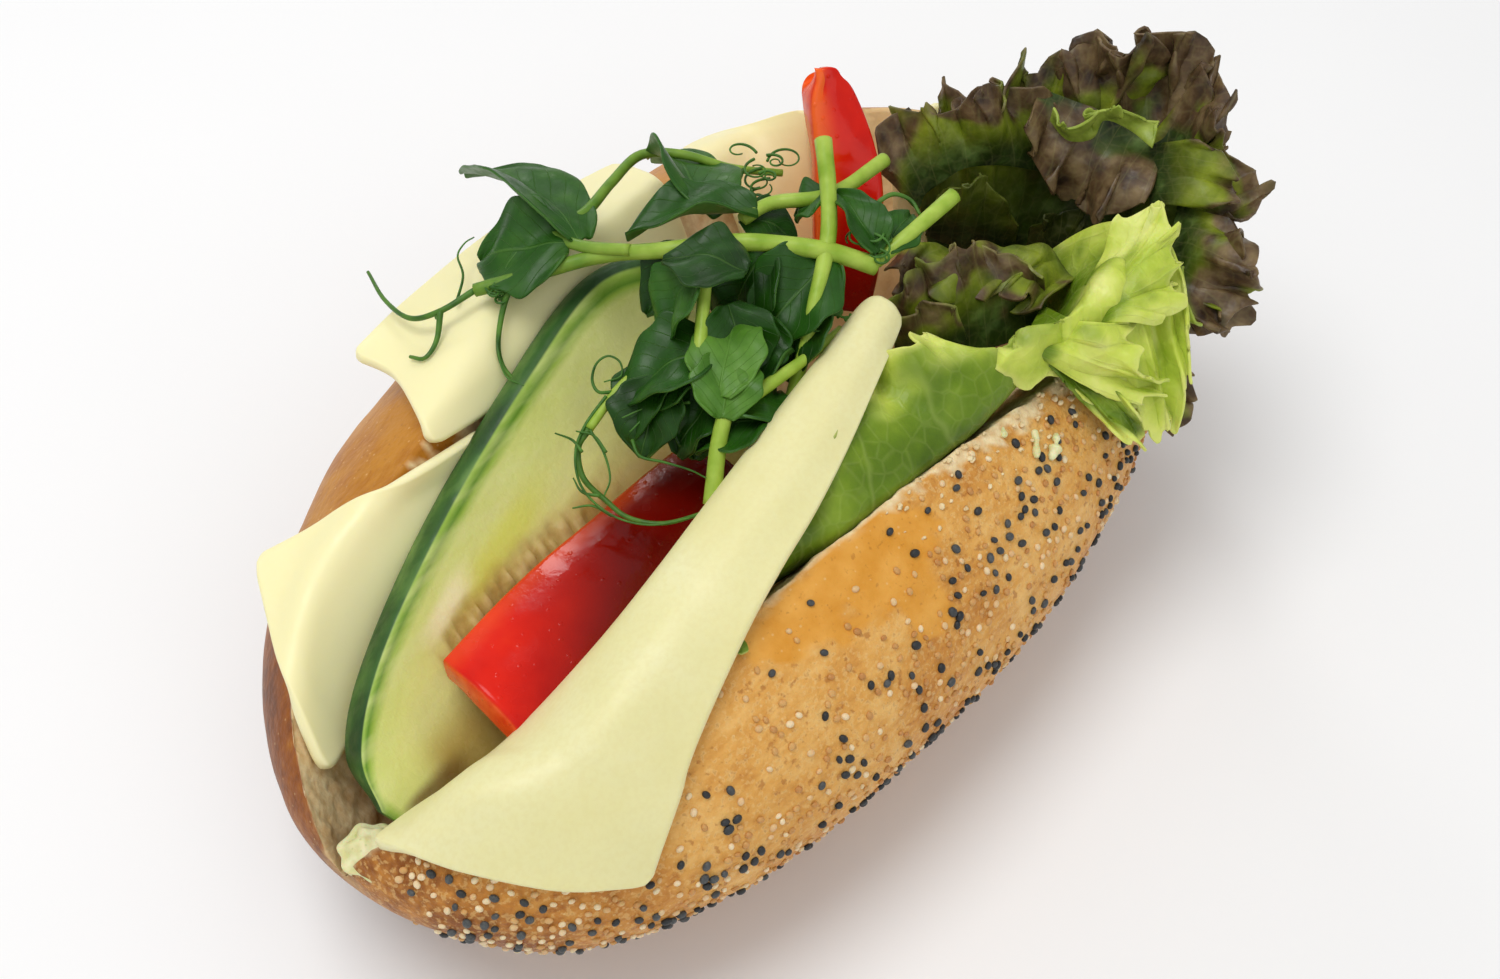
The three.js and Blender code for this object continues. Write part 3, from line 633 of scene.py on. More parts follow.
def bake_share(points):
    """How brown the crust is, from about 0 to 1, with painted light and shade in it"""
    x, height = points[..., 0], (points[..., 2] - ROLL.middle) / ROLL.half_height
    left_half = left_share(points)
    # Painted light pales the left half's top; painted shade browns it low down and partly at the right far
    # end
    bake = BAKE_AND_SHADING.usual - BAKE_AND_SHADING.paler_top * height * left_half + BAKE_AND_SHADING.cloud * noise(points, BAKE_AND_SHADING.cloud_size, 4)
    bake = bake + BAKE_AND_SHADING.small_cloud * noise(points, BAKE_AND_SHADING.small_size, 6)
    bake = bake + BAKE_AND_SHADING.near_end * ease(*BAKE_AND_SHADING.near_fade, x) + BAKE_AND_SHADING.low * ease(*BAKE_AND_SHADING.low_fade, height)
    return bake + BAKE_AND_SHADING.right_end * ease(*BAKE_AND_SHADING.right_fade, x) * (1 - left_half)


def crumb_share(grid, rim_distance):
    """1 inside the slit's torn rim and 0 out on the crust"""
    x, y = grid[..., 0], grid[..., 1]
    wide = ease(*TEAR.wide_start, x) * ease(*TEAR.wide_end, x) * (y < 0)
    smooth_rim = TEAR.smooth * hump(x, TEAR.smooth_at, TEAR.smooth_spread) * (y > 0)
    tear = TEAR.depth + TEAR.wide * wide - smooth_rim
    return ease(*TEAR.edge, rim_distance + tear * (TEAR.even + rough(grid, TEAR.size, 3, 3)))


def bread_form():
    """The crust with the slit's walls and floor, in rings from end to end"""
    x_share = -np.cos(np.linspace(0, math.pi, BREAD.stations)) * BREAD.end
    ends = [rim_turn(x_share, side) for side in (-1, 1)]
    share = np.linspace(0, 1, BREAD.around)
    turn = -ends[0][:, None] * (1 - share) + ends[1][:, None] * share
    crust = crust_point(round_the_roll(x_share[:, None], turn))
    right, left = crust[:, 0], crust[:, -1]
    floor_half, floor = slit_floor(left[:, 0])
    floor = np.minimum(floor, np.minimum(left[:, 2], right[:, 2]))
    left_floor = np.stack([left[:, 0], np.minimum(floor_half, left[:, 1]), floor], -1)
    right_floor = np.stack([right[:, 0], np.maximum(-floor_half, right[:, 1]), floor], -1)

    def line(start, end, count):
        way = np.linspace(0, 1, count + 1)[1:, None]
        return start[:, None] * (1 - way) + end[:, None] * way

    down = line(left, left_floor, BREAD.wall)
    flat = line(left_floor, right_floor, BREAD.floor)
    up = line(right_floor, right, BREAD.wall)[:, :-1]
    grid = np.concatenate([crust, down, flat, up], 1)
    count = grid.shape[1]

    # Distance from the nearer rim, below 0 out on the crust
    place = np.arange(count)
    inside = place >= BREAD.around - 1
    steps = np.linalg.norm(grid - np.roll(grid, 1, axis=1), axis=-1)
    run = np.cumsum(steps, axis=1)
    to_left = run - run[:, BREAD.around - 1:BREAD.around]
    to_right = run[:, -1:] + steps[:, :1] - run
    from_start = run - run[:, :1]
    rim_distance = np.where(inside, np.minimum(to_left, to_right), -np.minimum(-to_left, from_start))
    crumb = crumb_share(grid, rim_distance)

    around = np.roll(grid, -1, axis=1) - np.roll(grid, 1, axis=1)
    normal = unit(np.cross(around, np.gradient(grid, axis=0)))
    pores = RELIEF.pore * rough(grid, RELIEF.pore_size, 3, 7) - RELIEF.pore_sunk
    relief = crust_relief(grid) * (1 - crumb) + pores * crumb
    open_share = ease(0, BREAD.closing, 1 - np.abs(x_share))[:, None]
    points = grid + normal * (relief * open_share)[..., None]
    points[..., 2] = np.maximum(points[..., 2], 0)
    return rings_form(
        points, points[[0, -1]].mean(1), crumb=crumb, bake=bake_share(points), gold=gold_share(points),
        left_half=left_share(points), creamy=ease(*LIT_CRUMB_FADE, points[..., 0]),
    )


def crust_look():
    look = Look("crust", specular_ior_level=0.2, subsurface_weight=0.08, subsurface_scale=0.002,
                subsurface_radius=(1, 0.5, 0.2))
    streaks = look.minus(look.noise(1.3, 4, stretch=(0.4, 1, 1)), 0.5)
    spots = look.minus(look.noise(3.5, 4), 0.5)
    uneven = look.plus(look.times(streaks, 0.6), look.times(spots, 0.5))
    # This value carries painted light and shade as well as the crust's own browning
    bake = look.plus(look.number("bake"), uneven)
    smooth_half = look.ramp(
        bake, (0.15, (196, 134, 46)), (0.45, (177, 111, 28)), (0.7, (150, 83, 20)), (1, (108, 56, 16)))
    seeded_half = look.ramp(
        bake, (0.1, (240, 194, 118)), (0.42, (224, 166, 84)), (0.7, (200, 134, 58)), (1, (144, 84, 32)))
    colour = look.mix(look.number("left_half"), seeded_half, smooth_half)
    rough_skin = look.minus(1.0, look.larger(look.number("left_half"), look.number("gold")))
    flecks = look.times(look.between(look.noise(0.9, 4), 0.52, 0.62), rough_skin)
    colour = look.mix(look.times(flecks, 0.5), colour, (236, 194, 124))
    scorched = look.times(look.between(look.noise(1.5, 4), 0.6, 0.7), rough_skin)
    colour = look.mix(look.times(scorched, 0.55), colour, (160, 92, 36))
    gold = look.ramp(look.noise(5, 3), (0.3, (234, 172, 80)), (0.7, (216, 146, 46)))
    colour = look.mix(look.number("gold"), colour, gold)
    freckles = look.between(look.cells(1.7), 0.16, 0.07)
    colour = look.mix(look.times(freckles, 0.35), colour, (240, 210, 150))
    pits = look.between(look.noise(0.9, 2), 0.62, 0.75)
    colour = look.mix(look.times(pits, 0.35), colour, (150, 88, 34))
    crumb = look.ramp(look.noise(1.6, 4), (0.3, (222, 188, 136)), (0.7, (250, 230, 184)))
    # Painted light: the crumb is paler and creamier towards the far end
    crumb = look.mix(look.number("creamy"), crumb, (250, 214, 160))
    # Painted shade: the crumb is browner where the crust's value is high, at the near end and low down
    crumb = look.mix(look.between(look.number("bake"), 0.6, 1.0, 0, 0.65), crumb, (150, 104, 62))
    colour = look.mix(look.number("crumb"), colour, crumb)
    look.set("Base Color", colour)
    look.set("Roughness", look.between(look.number("crumb"), 0, 1, 0.42, 0.9))
    look.bump(look.noise(1.1, 4), 0.25, 0.7)
    look.bump(look.times(look.noise(0.7, 3), rough_skin), 0.3, 0.8)
    return look.material


# Seeds: how many places are drawn, how far apart they lie and how far from the rim, the ground and the ends,
# then how they gather in clumps, and a seed's form, half sizes and shade
SEED = Sizes(
    draws=16000, black=720, pale=1500, clearance=1.25, sink=0.15, rim_clear=1.5, lowest=1.5, farthest=92.4,
    clump=0.9, clump_size=7, taper=0.18, lift=0.75, size_range=(0.82, 1.15), width_range=(0.9, 1.1),
    black_size=(0.76, 0.58, 0.5), pale_size=(0.6, 0.48, 0.36), lighter_end=0.4, lighter_fade=(-50, -80),
)

# How thickly seeds lie at half height and at the least, and how that changes upwards and towards the ends
SEEDING = Sizes(
    middle=1.1, upwards=0.95, least=0.1, side_fade=(2, 16), far_end=0.4, far_fade=(10, 50), near_end=0.9,
    near_fade=(-60, -85),
)

# Patches with few seeds: how bare, middle and spread along X, then another axis with its middle and spread
BARE_PATCHES = ((0.95, -19, 13, 1, -39, 8), (0.9, -54, 8, 2, 44, 5), (0.6, -40, 14, 2, 54, 5))


def seed_density(place):
    """How thickly the crust carries seeds: none on the left half, few at the right rim, most low down"""
    height = (place[:, 2] - ROLL.middle) / ROLL.half_height
    side = ease(*SEEDING.side_fade, -place[:, 1])
    far_end = SEEDING.far_end * ease(*SEEDING.far_fade, place[:, 0])
    low = np.clip(SEEDING.middle - SEEDING.upwards * height + far_end, SEEDING.least, 1)
    near_end = ease(*SEEDING.near_fade, place[:, 0])
    bare = np.zeros(len(place))
    for share, x, x_spread, axis, other, other_spread in BARE_PATCHES:
        near_x = share * hump(place[:, 0], x, x_spread)
        bare = np.maximum(bare, near_x * hump(place[:, axis], other, other_spread))
    return side * np.maximum(low, SEEDING.near_end * near_end) * (1 - bare)


def seed_places(draw):
    """Places of seeds on the right half's crust, and the way out of it at each"""
    along = draw.uniform(-1, 1, SEED.draws)
    turn = draw.uniform(-math.pi, 0, SEED.draws)
    direction = round_the_roll(along, turn)
    place = crust_point(direction)
    outward = unit((place - (0, 0, ROLL.middle)) / np.array(
        [ROLL.half_length ** 2, ROLL.right_half_width ** 2, ROLL.half_height ** 2]))
    place = place + outward * crust_relief(place)[:, None]
    clumps = 1 + SEED.clump * noise(place, SEED.clump_size, 12)
    wanted = draw.random(SEED.draws) < seed_density(place) * clumps
    below_rim = (place[:, 1] < slit_rim(place[:, 0], -1) - SEED.rim_clear) | (place[:, 2] < ROLL.middle)
    below_rim &= np.abs(place[:, 0]) < SEED.farthest
    chosen = []
    for i in np.flatnonzero(wanted & below_rim & (place[:, 2] > SEED.lowest)):
        if not chosen or np.min(np.linalg.norm(place[chosen] - place[i], axis=1)) > SEED.clearance:
            chosen.append(i)
    return place[chosen], outward[chosen]


def seed_form(places, outwards, size, draw, points, faces):
    """Seeds as one form, each of its own size and shade and turned at random"""
    forms = []
    for place, outward in zip(places, outwards):
        side = unit(np.cross(outward, draw.normal(size=3)))
        axes = np.stack([side, np.cross(outward, side), outward])
        scale = np.array(size) * draw.uniform(*SEED.size_range) * (1, draw.uniform(*SEED.width_range), 1)
        shape = points * (1 - SEED.taper * points[:, :1]) * scale
        lifted = place + outward * (size[2] * SEED.lift - SEED.sink)
        shade = min(1, draw.random() + SEED.lighter_end * ease(*SEED.lighter_fade, place[0]))
        forms.append(Form(lifted + shape @ axes, [faces], shade=shade))
    return joined(forms)


def black_seed_look():
    look = Look("black_seed", roughness=0.5, specular_ior_level=0.35)
    shade = look.ramp(
        look.number("shade"), (0.0, (34, 36, 38)), (0.6, (60, 64, 66)), (1.0, (104, 108, 108)))
    look.set("Base Color", look.mix(look.noise(0.4, 2), shade, (46, 48, 50)))
    look.bump(look.cells(0.28), 0.06, 0.8)
    return look.material


def pale_seed_look():
    look = Look("pale_seed", roughness=0.5, specular_ior_level=0.4, subsurface_weight=0.15,
                subsurface_scale=0.001)
    shade = look.ramp(
        look.number("shade"), (0.0, (184, 124, 62)), (0.6, (212, 164, 98)), (1.0, (244, 224, 184)))
    spots = look.between(look.noise(0.5, 2), 0.3, 0.8, 0, 0.4)
    look.set("Base Color", look.mix(spots, shade, (220, 176, 112)))
    look.bump(look.noise(0.35, 2), 0.05, 0.6)
    return look.material


# Crumbs on the crust beside the torn rim: how many, from where to where along it, how far out and how high
CRUMBS = Sizes(
    count=70, start=-12, end=36, out=7, height=55, smallest=0.2, largest=0.6, uneven=0.7, lift=0.3,
)


def crumb_form(draw):
    """Uneven crumbs, scattered outwards from the slit's right rim"""
    points, faces = ball(1)
    forms = []
    for _ in range(CRUMBS.count):
        x = draw.uniform(CRUMBS.start, CRUMBS.end)
        y = slit_rim(x, -1) - CRUMBS.out * draw.random() ** 2
        length = draw.uniform(CRUMBS.smallest, CRUMBS.largest)
        size = length * np.array([1, draw.uniform(0.6, 1), draw.uniform(0.4, 0.8)])
        shape = points * (1 + CRUMBS.uneven * noise(points * 3, 2.1, draw.integers(50)))[:, None] * size
        ground = crust_height(x, y) + crust_relief(np.array([x, y, CRUMBS.height]))
        place = np.array([x, y, ground + CRUMBS.lift * size[2]])
        forms.append(Form(place + shape, [faces], crumb=1.0, bake=0.3, gold=0.0, left_half=0.0, creamy=0.0))
    return joined(forms)


def make_bread():
    look = crust_look()
    piece("bread", bread_form(), look, "crust", "bread_roll")
    draw = np.random.default_rng(4)
    places, outwards = seed_places(draw)
    points, faces = ball(1)
    start = 0
    for name, count, size, seed_look in (
            ("black_seeds", SEED.black, SEED.black_size, black_seed_look),
            ("pale_seeds", SEED.pale, SEED.pale_size, pale_seed_look)):
        chosen = slice(start, start + count)
        form = seed_form(places[chosen], outwards[chosen], size, draw, points, faces)
        piece(name, form, seed_look(), "crust", "bread_roll")
        start += count
    piece("crumbs", crumb_form(draw), look, "crust", "bread_roll")


# Cheese slices, each laid through three to five lines of points from its outer edge to its inner one

CHEESE_SLICES = {
    "cheese_front": [
        [[-73, -38.6, 39.2], [-81.7, -30.3, 42.5], [-88.3, -17.4, 43.9], [-91.7, -4, 41.5]],
        [[-64, -37, 46], [-72, -27, 50], [-78, -14, 50], [-82, -5, 39]],
        [[-57, -35, 52.5], [-63, -24, 56], [-67, -13, 48], [-69, -7, 36]],
        [[-38, -31.5, 60], [-43, -22, 61], [-47, -15.5, 56], [-50, -12.5, 40]],
        [[-15, -28, 64], [-17, -22, 66], [-20, -15.5, 63], [-24, -12, 46]],
        [[14, -20, 67.5], [14, -17.5, 70], [13, -14.5, 68.5], [8, -10, 56]],
    ],
    "cheese_left_near": [
        [[-70, 39, 50], [-77, 28.5, 47], [-83.4, 17.8, 43.4], [-87.3, 9.5, 38.4]],
        [[-59.2, 33.2, 52.6], [-66, 28, 50], [-71, 22.5, 44.5], [-70, 16, 34]],
        [[-48.6, 26.6, 57.2], [-51, 25.5, 52], [-53, 23, 46.5], [-50, 19, 36]],
        [[-31.6, 26, 53.8], [-32.5, 24.5, 49], [-34, 22.5, 44], [-35, 20, 39]],
    ],
    "cheese_left_middle": [
        [[-36, 50.5, 57.5], [-35, 42.5, 57], [-38.9, 33.8, 58.6], [-42.5, 27.6, 56]],
        [[-20, 53, 55.5], [-20, 43, 59], [-20, 34, 61], [-20, 27, 50]],
        [[2, 52, 56], [1, 42, 60], [0, 34, 61], [0, 27, 50]],
        [[25, 46, 56.5], [24, 40, 59], [22, 33, 60], [20, 25, 48]],
    ],
    "cheese_left_far": [
        [[34, 40, 55.5], [33, 34, 58], [31, 26, 54], [28, 17, 42]],
        [[43, 36, 56], [42, 30, 57.5], [39, 24, 54], [34, 15, 42]],
        [[50.5, 23, 64.5], [48, 21, 61], [44, 17, 54], [39, 11, 42]],
    ],
    "cheese_far": [
        [[57, 10, 57], [55, 8, 52], [52, 5, 46], [49, 1, 40]],
        [[66, 7, 62.5], [63, 5, 56], [59, 2, 49], [55, -2, 41]],
        [[68, 1.5, 57], [65, 0, 52], [62, -2, 46], [59, -6, 41]],
    ],
}

# How far each slice's corners are rounded, in millimetres
CHEESE_CORNERS = {
    "cheese_front": 3.5, "cheese_left_near": 3, "cheese_left_middle": 3, "cheese_left_far": 4,
    "cheese_far": 2.5,
}


def rounded_corners(s, t, share_s, share_t):
    """Moves places near a unit square's corners onto round corners"""
    u, v = 2 * s - 1, 2 * t - 1
    a = np.clip((np.abs(u) - 1 + share_s) / share_s, 0, 1)
    b = np.clip((np.abs(v) - 1 + share_t) / share_t, 0, 1)
    u = np.sign(u) * np.where(a > 0, 1 - share_s + share_s * a * np.sqrt(1 - b * b / 2), np.abs(u))
    v = np.sign(v) * np.where(b > 0, 1 - share_t + share_t * b * np.sqrt(1 - a * a / 2), np.abs(v))
    return (u + 1) / 2, (v + 1) / 2


# Small dents in the front slice: x, y, radius, depth
CHEESE_DENTS = ((-22, -19, 1.4, 0.25), (-27, -19, 1.0, 0.15), (-70, -22, 1.2, 0.12))

# Where the cheese beside the far pepper strip is tinted: middle and spread along X and along Y
ROSY = ((38, 14), (14, 14))


def blurred(grid):
    """Every value averaged with its neighbours, first down a grid's columns and then along its rows"""
    for _ in range(2):
        padded = np.pad(grid, ((1, 1), (0, 0)), "edge")
        grid = ((padded[:-2] + 2 * grid + padded[2:]) / 4).T
    return grid


def cheese_surface(name):
    """A slice's surface, raised where the bread below would come through it"""
    lines = np.linspace(0, 1, CHEESE.lines)
    laid = patch(CHEESE_SLICES[name])(*np.meshgrid(lines, lines))
    laid[..., 2] += blurred(np.maximum(resting_height(laid[..., 0], laid[..., 1]) - laid[..., 2], 0))
    base = patch(laid)
    width, length = mean_lengths(laid)
    corner = 2 * CHEESE_CORNERS[name]

    def place(s, t):
        point = base(*rounded_corners(s, t, corner / width, corner / length))
        point[..., 2] += CHEESE.uneven * noise(point, CHEESE.uneven_size, 2) + CHEESE.uneven
        for x, y, radius, depth in CHEESE_DENTS:
            point[..., 2] -= depth * hump(point[..., 0], x, radius) * hump(point[..., 1], y, radius)
        return point

    return place


def cheese_look():
    look = Look("cheese", specular_ior_level=0.42, subsurface_weight=0.25, subsurface_scale=0.003,
                subsurface_radius=(1, 0.85, 0.4))
    clouds = look.ramp(
        look.noise(14, 4), (0.3, (232, 225, 164)), (0.55, (236, 230, 174)), (0.8, (240, 235, 186)))
    fine = look.between(look.noise(0.8, 3), 0.35, 0.7, 0, 0.35)
    colour = look.mix(fine, clouds, (228, 218, 154))
    # Painted light and shade: all slices but the front one are painted paler as lit copies, the front one
    # keeps the shaded tone
    colour = look.mix(look.times(look.number("pale"), 0.9), colour, (255, 244, 188))
    colour = look.mix(look.times(look.number("rosy"), 0.75), colour, (246, 196, 134))
    rim = look.between(look.size(look.number("depth")), 0.5, 0.97, 0.45, 0)
    look.set("Base Color", look.mix(rim, colour, (248, 240, 188)))
    look.set("Roughness", look.between(look.noise(6, 3), 0.3, 0.7, 0.34, 0.5))
    look.bump(look.noise(6, 3), 0.12, 0.4)
    look.bump(look.noise(0.6, 3), 0.03, 0.5)
    return look.material


def make_cheese():
    look = cheese_look()
    (x, x_spread), (y, y_spread) = ROSY
    for name in CHEESE_SLICES:
        # The front slice is painted in shade, the others paler as painted light
        pale = 0.0 if name == "cheese_front" else 1.0
        surface = cheese_surface(name)
        form = sheet(surface, CHEESE.columns, CHEESE.rows, CHEESE.thickness, CHEESE.rim, pale=pale)
        form.values["rosy"] = hump(form.points[:, 0], x, x_spread) * hump(form.points[:, 1], y, y_spread)
        piece(name + "_slice", form, look, "cheese", name)


# A long slab of cucumber: its top edge with skin, and its lower edge down in the slit

CUCUMBER_TOP = [
    [-86.3, -0.4, 39.6], [-82.3, 6.3, 44.5], [-69.3, 13.5, 48.7], [-47.2, 19.7, 55],
    [-24, 23.9, 61], [-4, 26.6, 64], [8, 21, 64],
]
CUCUMBER_LOW = [
    [-85.5, -3, 38], [-81, -4.5, 36], [-69, -4.5, 31], [-47, -3.5, 28],
    [-24, -3, 30], [-4, -2, 34], [8, 2, 40],
]

# The slab's points along it, across its face, round its edges and across its back, and its face's relief
SLAB = Sizes(
    stations=300, face=80, edge=16, back=24, uneven=0.12, uneven_size=5, raised=0.05, gel_size=1.8,
    skin=0.5, end_slope=0.45, near_fade=(0, 0.1), far_fade=(1, 0.97), skin_fade=(0, 0.08),
)

# The bed of seeds beside the pepper: from where to where it runs, where across the face it starts and how
# that drifts along it, then the seeds' distance, place, length, width and height, and how unevenly they lie
SEED_BED = Sizes(
    near=(29, 34), far=(76, 68), start=0.225, level=37, drift=0.006, wander=0.02, edge=0.11,
    low=(1, 0.93), sunk=0.5, pitch=4.2, place=0.1, length=0.08, width=1.2, tall=0.9, warp=1.2,
    lean=4, more_lean=8, before=0.6,
)


def scattered(row, factor, spread):
    """A number from 0 to 1 for each row of seeds, without order"""
    return np.modf(np.abs(np.sin(row * factor) * spread))[0]


def seed_bed(along, across):
    """Sunken gel beside the pepper, as a share, and the seeds that lie across it"""
    along = along + SEED_BED.warp * (np.sin(0.9 * along) + 0.5 * np.sin(2.3 * along))
    row = np.floor(along / SEED_BED.pitch)
    draw, other = scattered(row, 12.9, 43.7), scattered(row, 78.2, 91.3)
    edge = SEED_BED.start + SEED_BED.drift * np.maximum(along - SEED_BED.level, 0)
    edge = edge + SEED_BED.wander * (draw - 0.5)
    bed = ease(0, SEED_BED.edge, across - edge) * ease(*SEED_BED.low, across)
    bed = bed * ease(*SEED_BED.near, along) * ease(*SEED_BED.far, along)
    lean = (across - edge) * (SEED_BED.lean + SEED_BED.more_lean * other)
    offset = along - (row + 0.35 + 0.3 * other) * SEED_BED.pitch + lean - SEED_BED.before
    seed = hump(offset, 0, SEED_BED.width * (0.8 + 0.4 * draw))
    seed = seed * hump(across, edge + SEED_BED.place + 0.07 * other, SEED_BED.length * (0.7 + 0.5 * draw))
    return bed, bed * seed


def cucumber_form():
    """The slab: its face with the bed of seeds, its lower edge, its back, and its edge with the skin"""
    t = np.linspace(0, 1, SLAB.stations)
    skin_edge, lower = smooth(CUCUMBER_TOP, t), smooth(CUCUMBER_LOW, t)
    ahead = heading(lambda places: smooth(CUCUMBER_TOP, places), t)
    down = unit(lower - skin_edge)
    reach = CUCUMBER.bulge + CUCUMBER.far_bulge * t ** CUCUMBER.bulge_power
    upper = skin_edge + down * reach[:, None]
    inward = unit(np.cross(ahead, down))
    taper = np.minimum(1, CUCUMBER.end_share + (1 - CUCUMBER.end_share) * t / CUCUMBER.taper_length)
    thick = CUCUMBER.thickness * taper
    width = np.linalg.norm(lower - upper, axis=-1)
    along = distances(upper)[:, None]
    face = np.linspace(0, 1, SLAB.face)
    edge = np.linspace(0, math.pi, SLAB.edge)[1:-1]
    back = np.linspace(1, 0, SLAB.back)
    ring = [
        (face, 0 * face, 0 * face),
        (1 + 0 * edge, np.sin(edge), (1 - np.cos(edge)) / 2),
        (back, 0 * back, 1 + 0 * back),
        (0 * edge, -np.sin(edge) ** CUCUMBER.skin_squareness, (1 + np.cos(edge)) / 2),
    ]
    across, bulge, depth = (np.concatenate(parts)[None] for parts in zip(*ring))
    points = upper[:, None] + (lower - upper)[:, None] * across[..., None]
    outwards = np.where(bulge < 0, reach[:, None], CUCUMBER.bulge) * bulge
    points = points + down[:, None] * outwards[..., None]
    points = points + inward[:, None] * (thick[:, None] * depth)[..., None]
    on_face = depth == 0
    bed, seeds = seed_bed(along, across)
    relief = SLAB.uneven * noise(points, SLAB.uneven_size, 3) - SLAB.raised
    relief = relief - SEED_BED.sunk * bed + SEED_BED.tall * seeds
    relief = relief + SLAB.uneven * bed * rough(points, SLAB.gel_size, 2, 4)
    relief *= on_face * ease(*SLAB.near_fade, t)[:, None] * ease(*SLAB.far_fade, t)[:, None]
    points = points - inward[:, None] * relief[..., None]
    from_skin = np.minimum(across * width[:, None] + SLAB.skin * (bulge < 0), SLAB.end_slope * along)
    skin = np.where(across == 0, ease(*SLAB.skin_fade, depth), 0.0)
    return rings_form(
        points, points[[0, -1]].mean(1), across=across, along=along, from_skin=from_skin, skin=skin,
        bed=bed * on_face, seed=seeds * on_face,
    )


def cucumber_look():
    look = Look("cucumber", specular_ior_level=0.4, subsurface_weight=0.3, subsurface_scale=0.004,
                coat_weight=0.05, coat_roughness=0.2,
                subsurface_radius=(0.8, 1, 0.35))
    flesh = look.ramp(
        look.sum("DIVIDE", look.number("from_skin"), 30.0),
        (0.0, (96, 142, 30)), (0.025, (158, 188, 72)), (0.07, (214, 222, 130)),
        (0.4, (240, 242, 158)), (1.0, (222, 214, 134)))
    streaks = look.between(look.noise(3, 4, stretch=(0.25, 1, 1)), 0.35, 0.7, 0, 0.45)
    flesh = look.mix(streaks, flesh, (226, 228, 158))
    glow = look.times(look.near("along", 50.0, 18.0, 5.0), look.near("across", 0.28, 0.13, 0.02))
    flesh = look.mix(look.times(glow, 0.7), flesh, (218, 222, 84))
    # Painted highlight: a pale wet gleam on the face beside the bed of seeds
    pale = look.times(look.near("along", 37.0, 9.0, 2.0), look.near("across", 0.2, 0.1, 0.02))
    flesh = look.mix(pale, flesh, (246, 242, 186))
    warm = look.times(look.near("along", 24.0, 11.0, 3.0), look.between(look.number("across"), 0.42, 0.75))
    flesh = look.mix(look.times(warm, 0.7), flesh, (186, 148, 58))
    # Painted shade: the face's lower part near the near end is painted dark brown, as the shaded gap into
    # the slit
    low = look.times(look.near("along", 14.0, 12.0, 4.0), look.between(look.number("across"), 0.68, 0.82))
    flesh = look.mix(look.times(low, 0.8), flesh, (112, 74, 24))
    gel = look.ramp(look.noise(1.6, 3), (0.3, (186, 156, 76)), (0.7, (210, 186, 110)))
    flesh = look.mix(look.times(look.number("bed"), 0.85), flesh, gel)
    flesh = look.mix(look.between(look.number("seed"), 0.3, 0.8, 0, 0.5), flesh, (226, 208, 146))
    skin_marks = look.ramp(
        look.noise(6, 4, stretch=(0.3, 1, 1)),
        (0.35, (28, 66, 20)), (0.55, (54, 96, 34)), (0.8, (112, 148, 70)))
    skin = look.between(look.number("skin"), 0.3, 0.7)
    look.set("Base Color", look.mix(skin, flesh, skin_marks))
    wet = look.between(look.noise(2.5, 2), 0.35, 0.65, 0.14, 0.36)
    edge = look.between(look.number("from_skin"), 1.5, 0.5)
    look.set("Roughness", look.plus(wet, look.times(edge, 0.3)))
    look.bump(look.noise(1.8, 3), 0.18, 0.6)
    look.bump(look.noise(0.5, 2), 0.04, 0.5)
    return look.material


# Pepper strips: rows of points across each strip's middle

PEPPER_STRIPS = {
    "pepper_front": [
        [[-66, 4.5, 46.5], [-67.5, -3.5, 47.5], [-68, -10.5, 44.5]],
        [[-48, 5, 46], [-49, -3, 47], [-50, -11, 44]],
        [[-30, 4, 45.5], [-30, -3, 46], [-30, -10, 43]],
        [[-10, 3, 44], [-10, -3, 44.5], [-10, -9, 42]],
    ],
    "pepper_far": [
        [[45.5, 18.5, 77], [46.5, 18, 77.6], [47.3, 17, 76.8]],
        [[41.6, 17.8, 74], [45, 16, 74.5], [48.1, 13.4, 73]],
        [[37.7, 13.5, 66], [42, 10.5, 67.5], [45, 5.7, 65]],
        [[34.5, 11, 59], [39, 6.5, 60], [41.8, 1.5, 59]],
        [[31, 8, 49], [35, 3.8, 50], [38, -0.8, 49.5]],
        [[29, 6.5, 42], [32, 2.5, 42.5], [34.5, -1.5, 42]],
    ],
}

# A notch in the far strip's tip: where it lies across and along the strip, how wide and how deep
NOTCH = Sizes(across=0.32, along=0.14, width=0.16, length=0.07, depth=1.1)


def pepper_surface(name, rows):
    """A strip's middle, a little uneven"""
    base = patch(rows)

    def place(s, t):
        point = base(s, t)
        uneven = PEPPER.uneven * noise(point, PEPPER.uneven_size, 1)
        point[..., 2] += uneven + PEPPER.fine * noise(point, PEPPER.fine_size, 2)
        if name == "pepper_far":
            notch = NOTCH.depth * hump(s, NOTCH.across, NOTCH.width)
            point[..., 2] -= notch * hump(t, NOTCH.along, NOTCH.length)
        return point

    return place


def pepper_look():
    look = Look("pepper", specular_ior_level=0.26, subsurface_weight=0.06, subsurface_scale=0.002,
                subsurface_radius=(1, 0.15, 0.05))
    skin = look.ramp(look.noise(8, 3), (0.3, (206, 16, 4)), (0.6, (226, 30, 8)), (0.85, (236, 52, 16)))
    # Painted shade darkens the skin where shade is set, and bright paints a lighter orange edge and a
    # highlight
    skin = look.mix(look.number("shade"), skin, (100, 10, 4))
    skin = look.mix(look.number("bright"), skin, (252, 104, 36))
    flesh = look.ramp(look.noise(2, 3), (0.3, (224, 56, 14)), (0.7, (238, 88, 30)))
    rim = look.between(look.size(look.number("depth")), 0.97, 0.8)
    look.set("Base Color", look.mix(rim, skin, flesh))
    look.set("Roughness", look.between(look.noise(6, 3), 0.35, 0.7, 0.12, 0.3))
    look.bump(look.noise(3.2, 3), 0.18, 0.6)
    look.bump(look.between(look.cells(2.1), 0.2, 0.08), 0.12, 0.5)
    return look.material


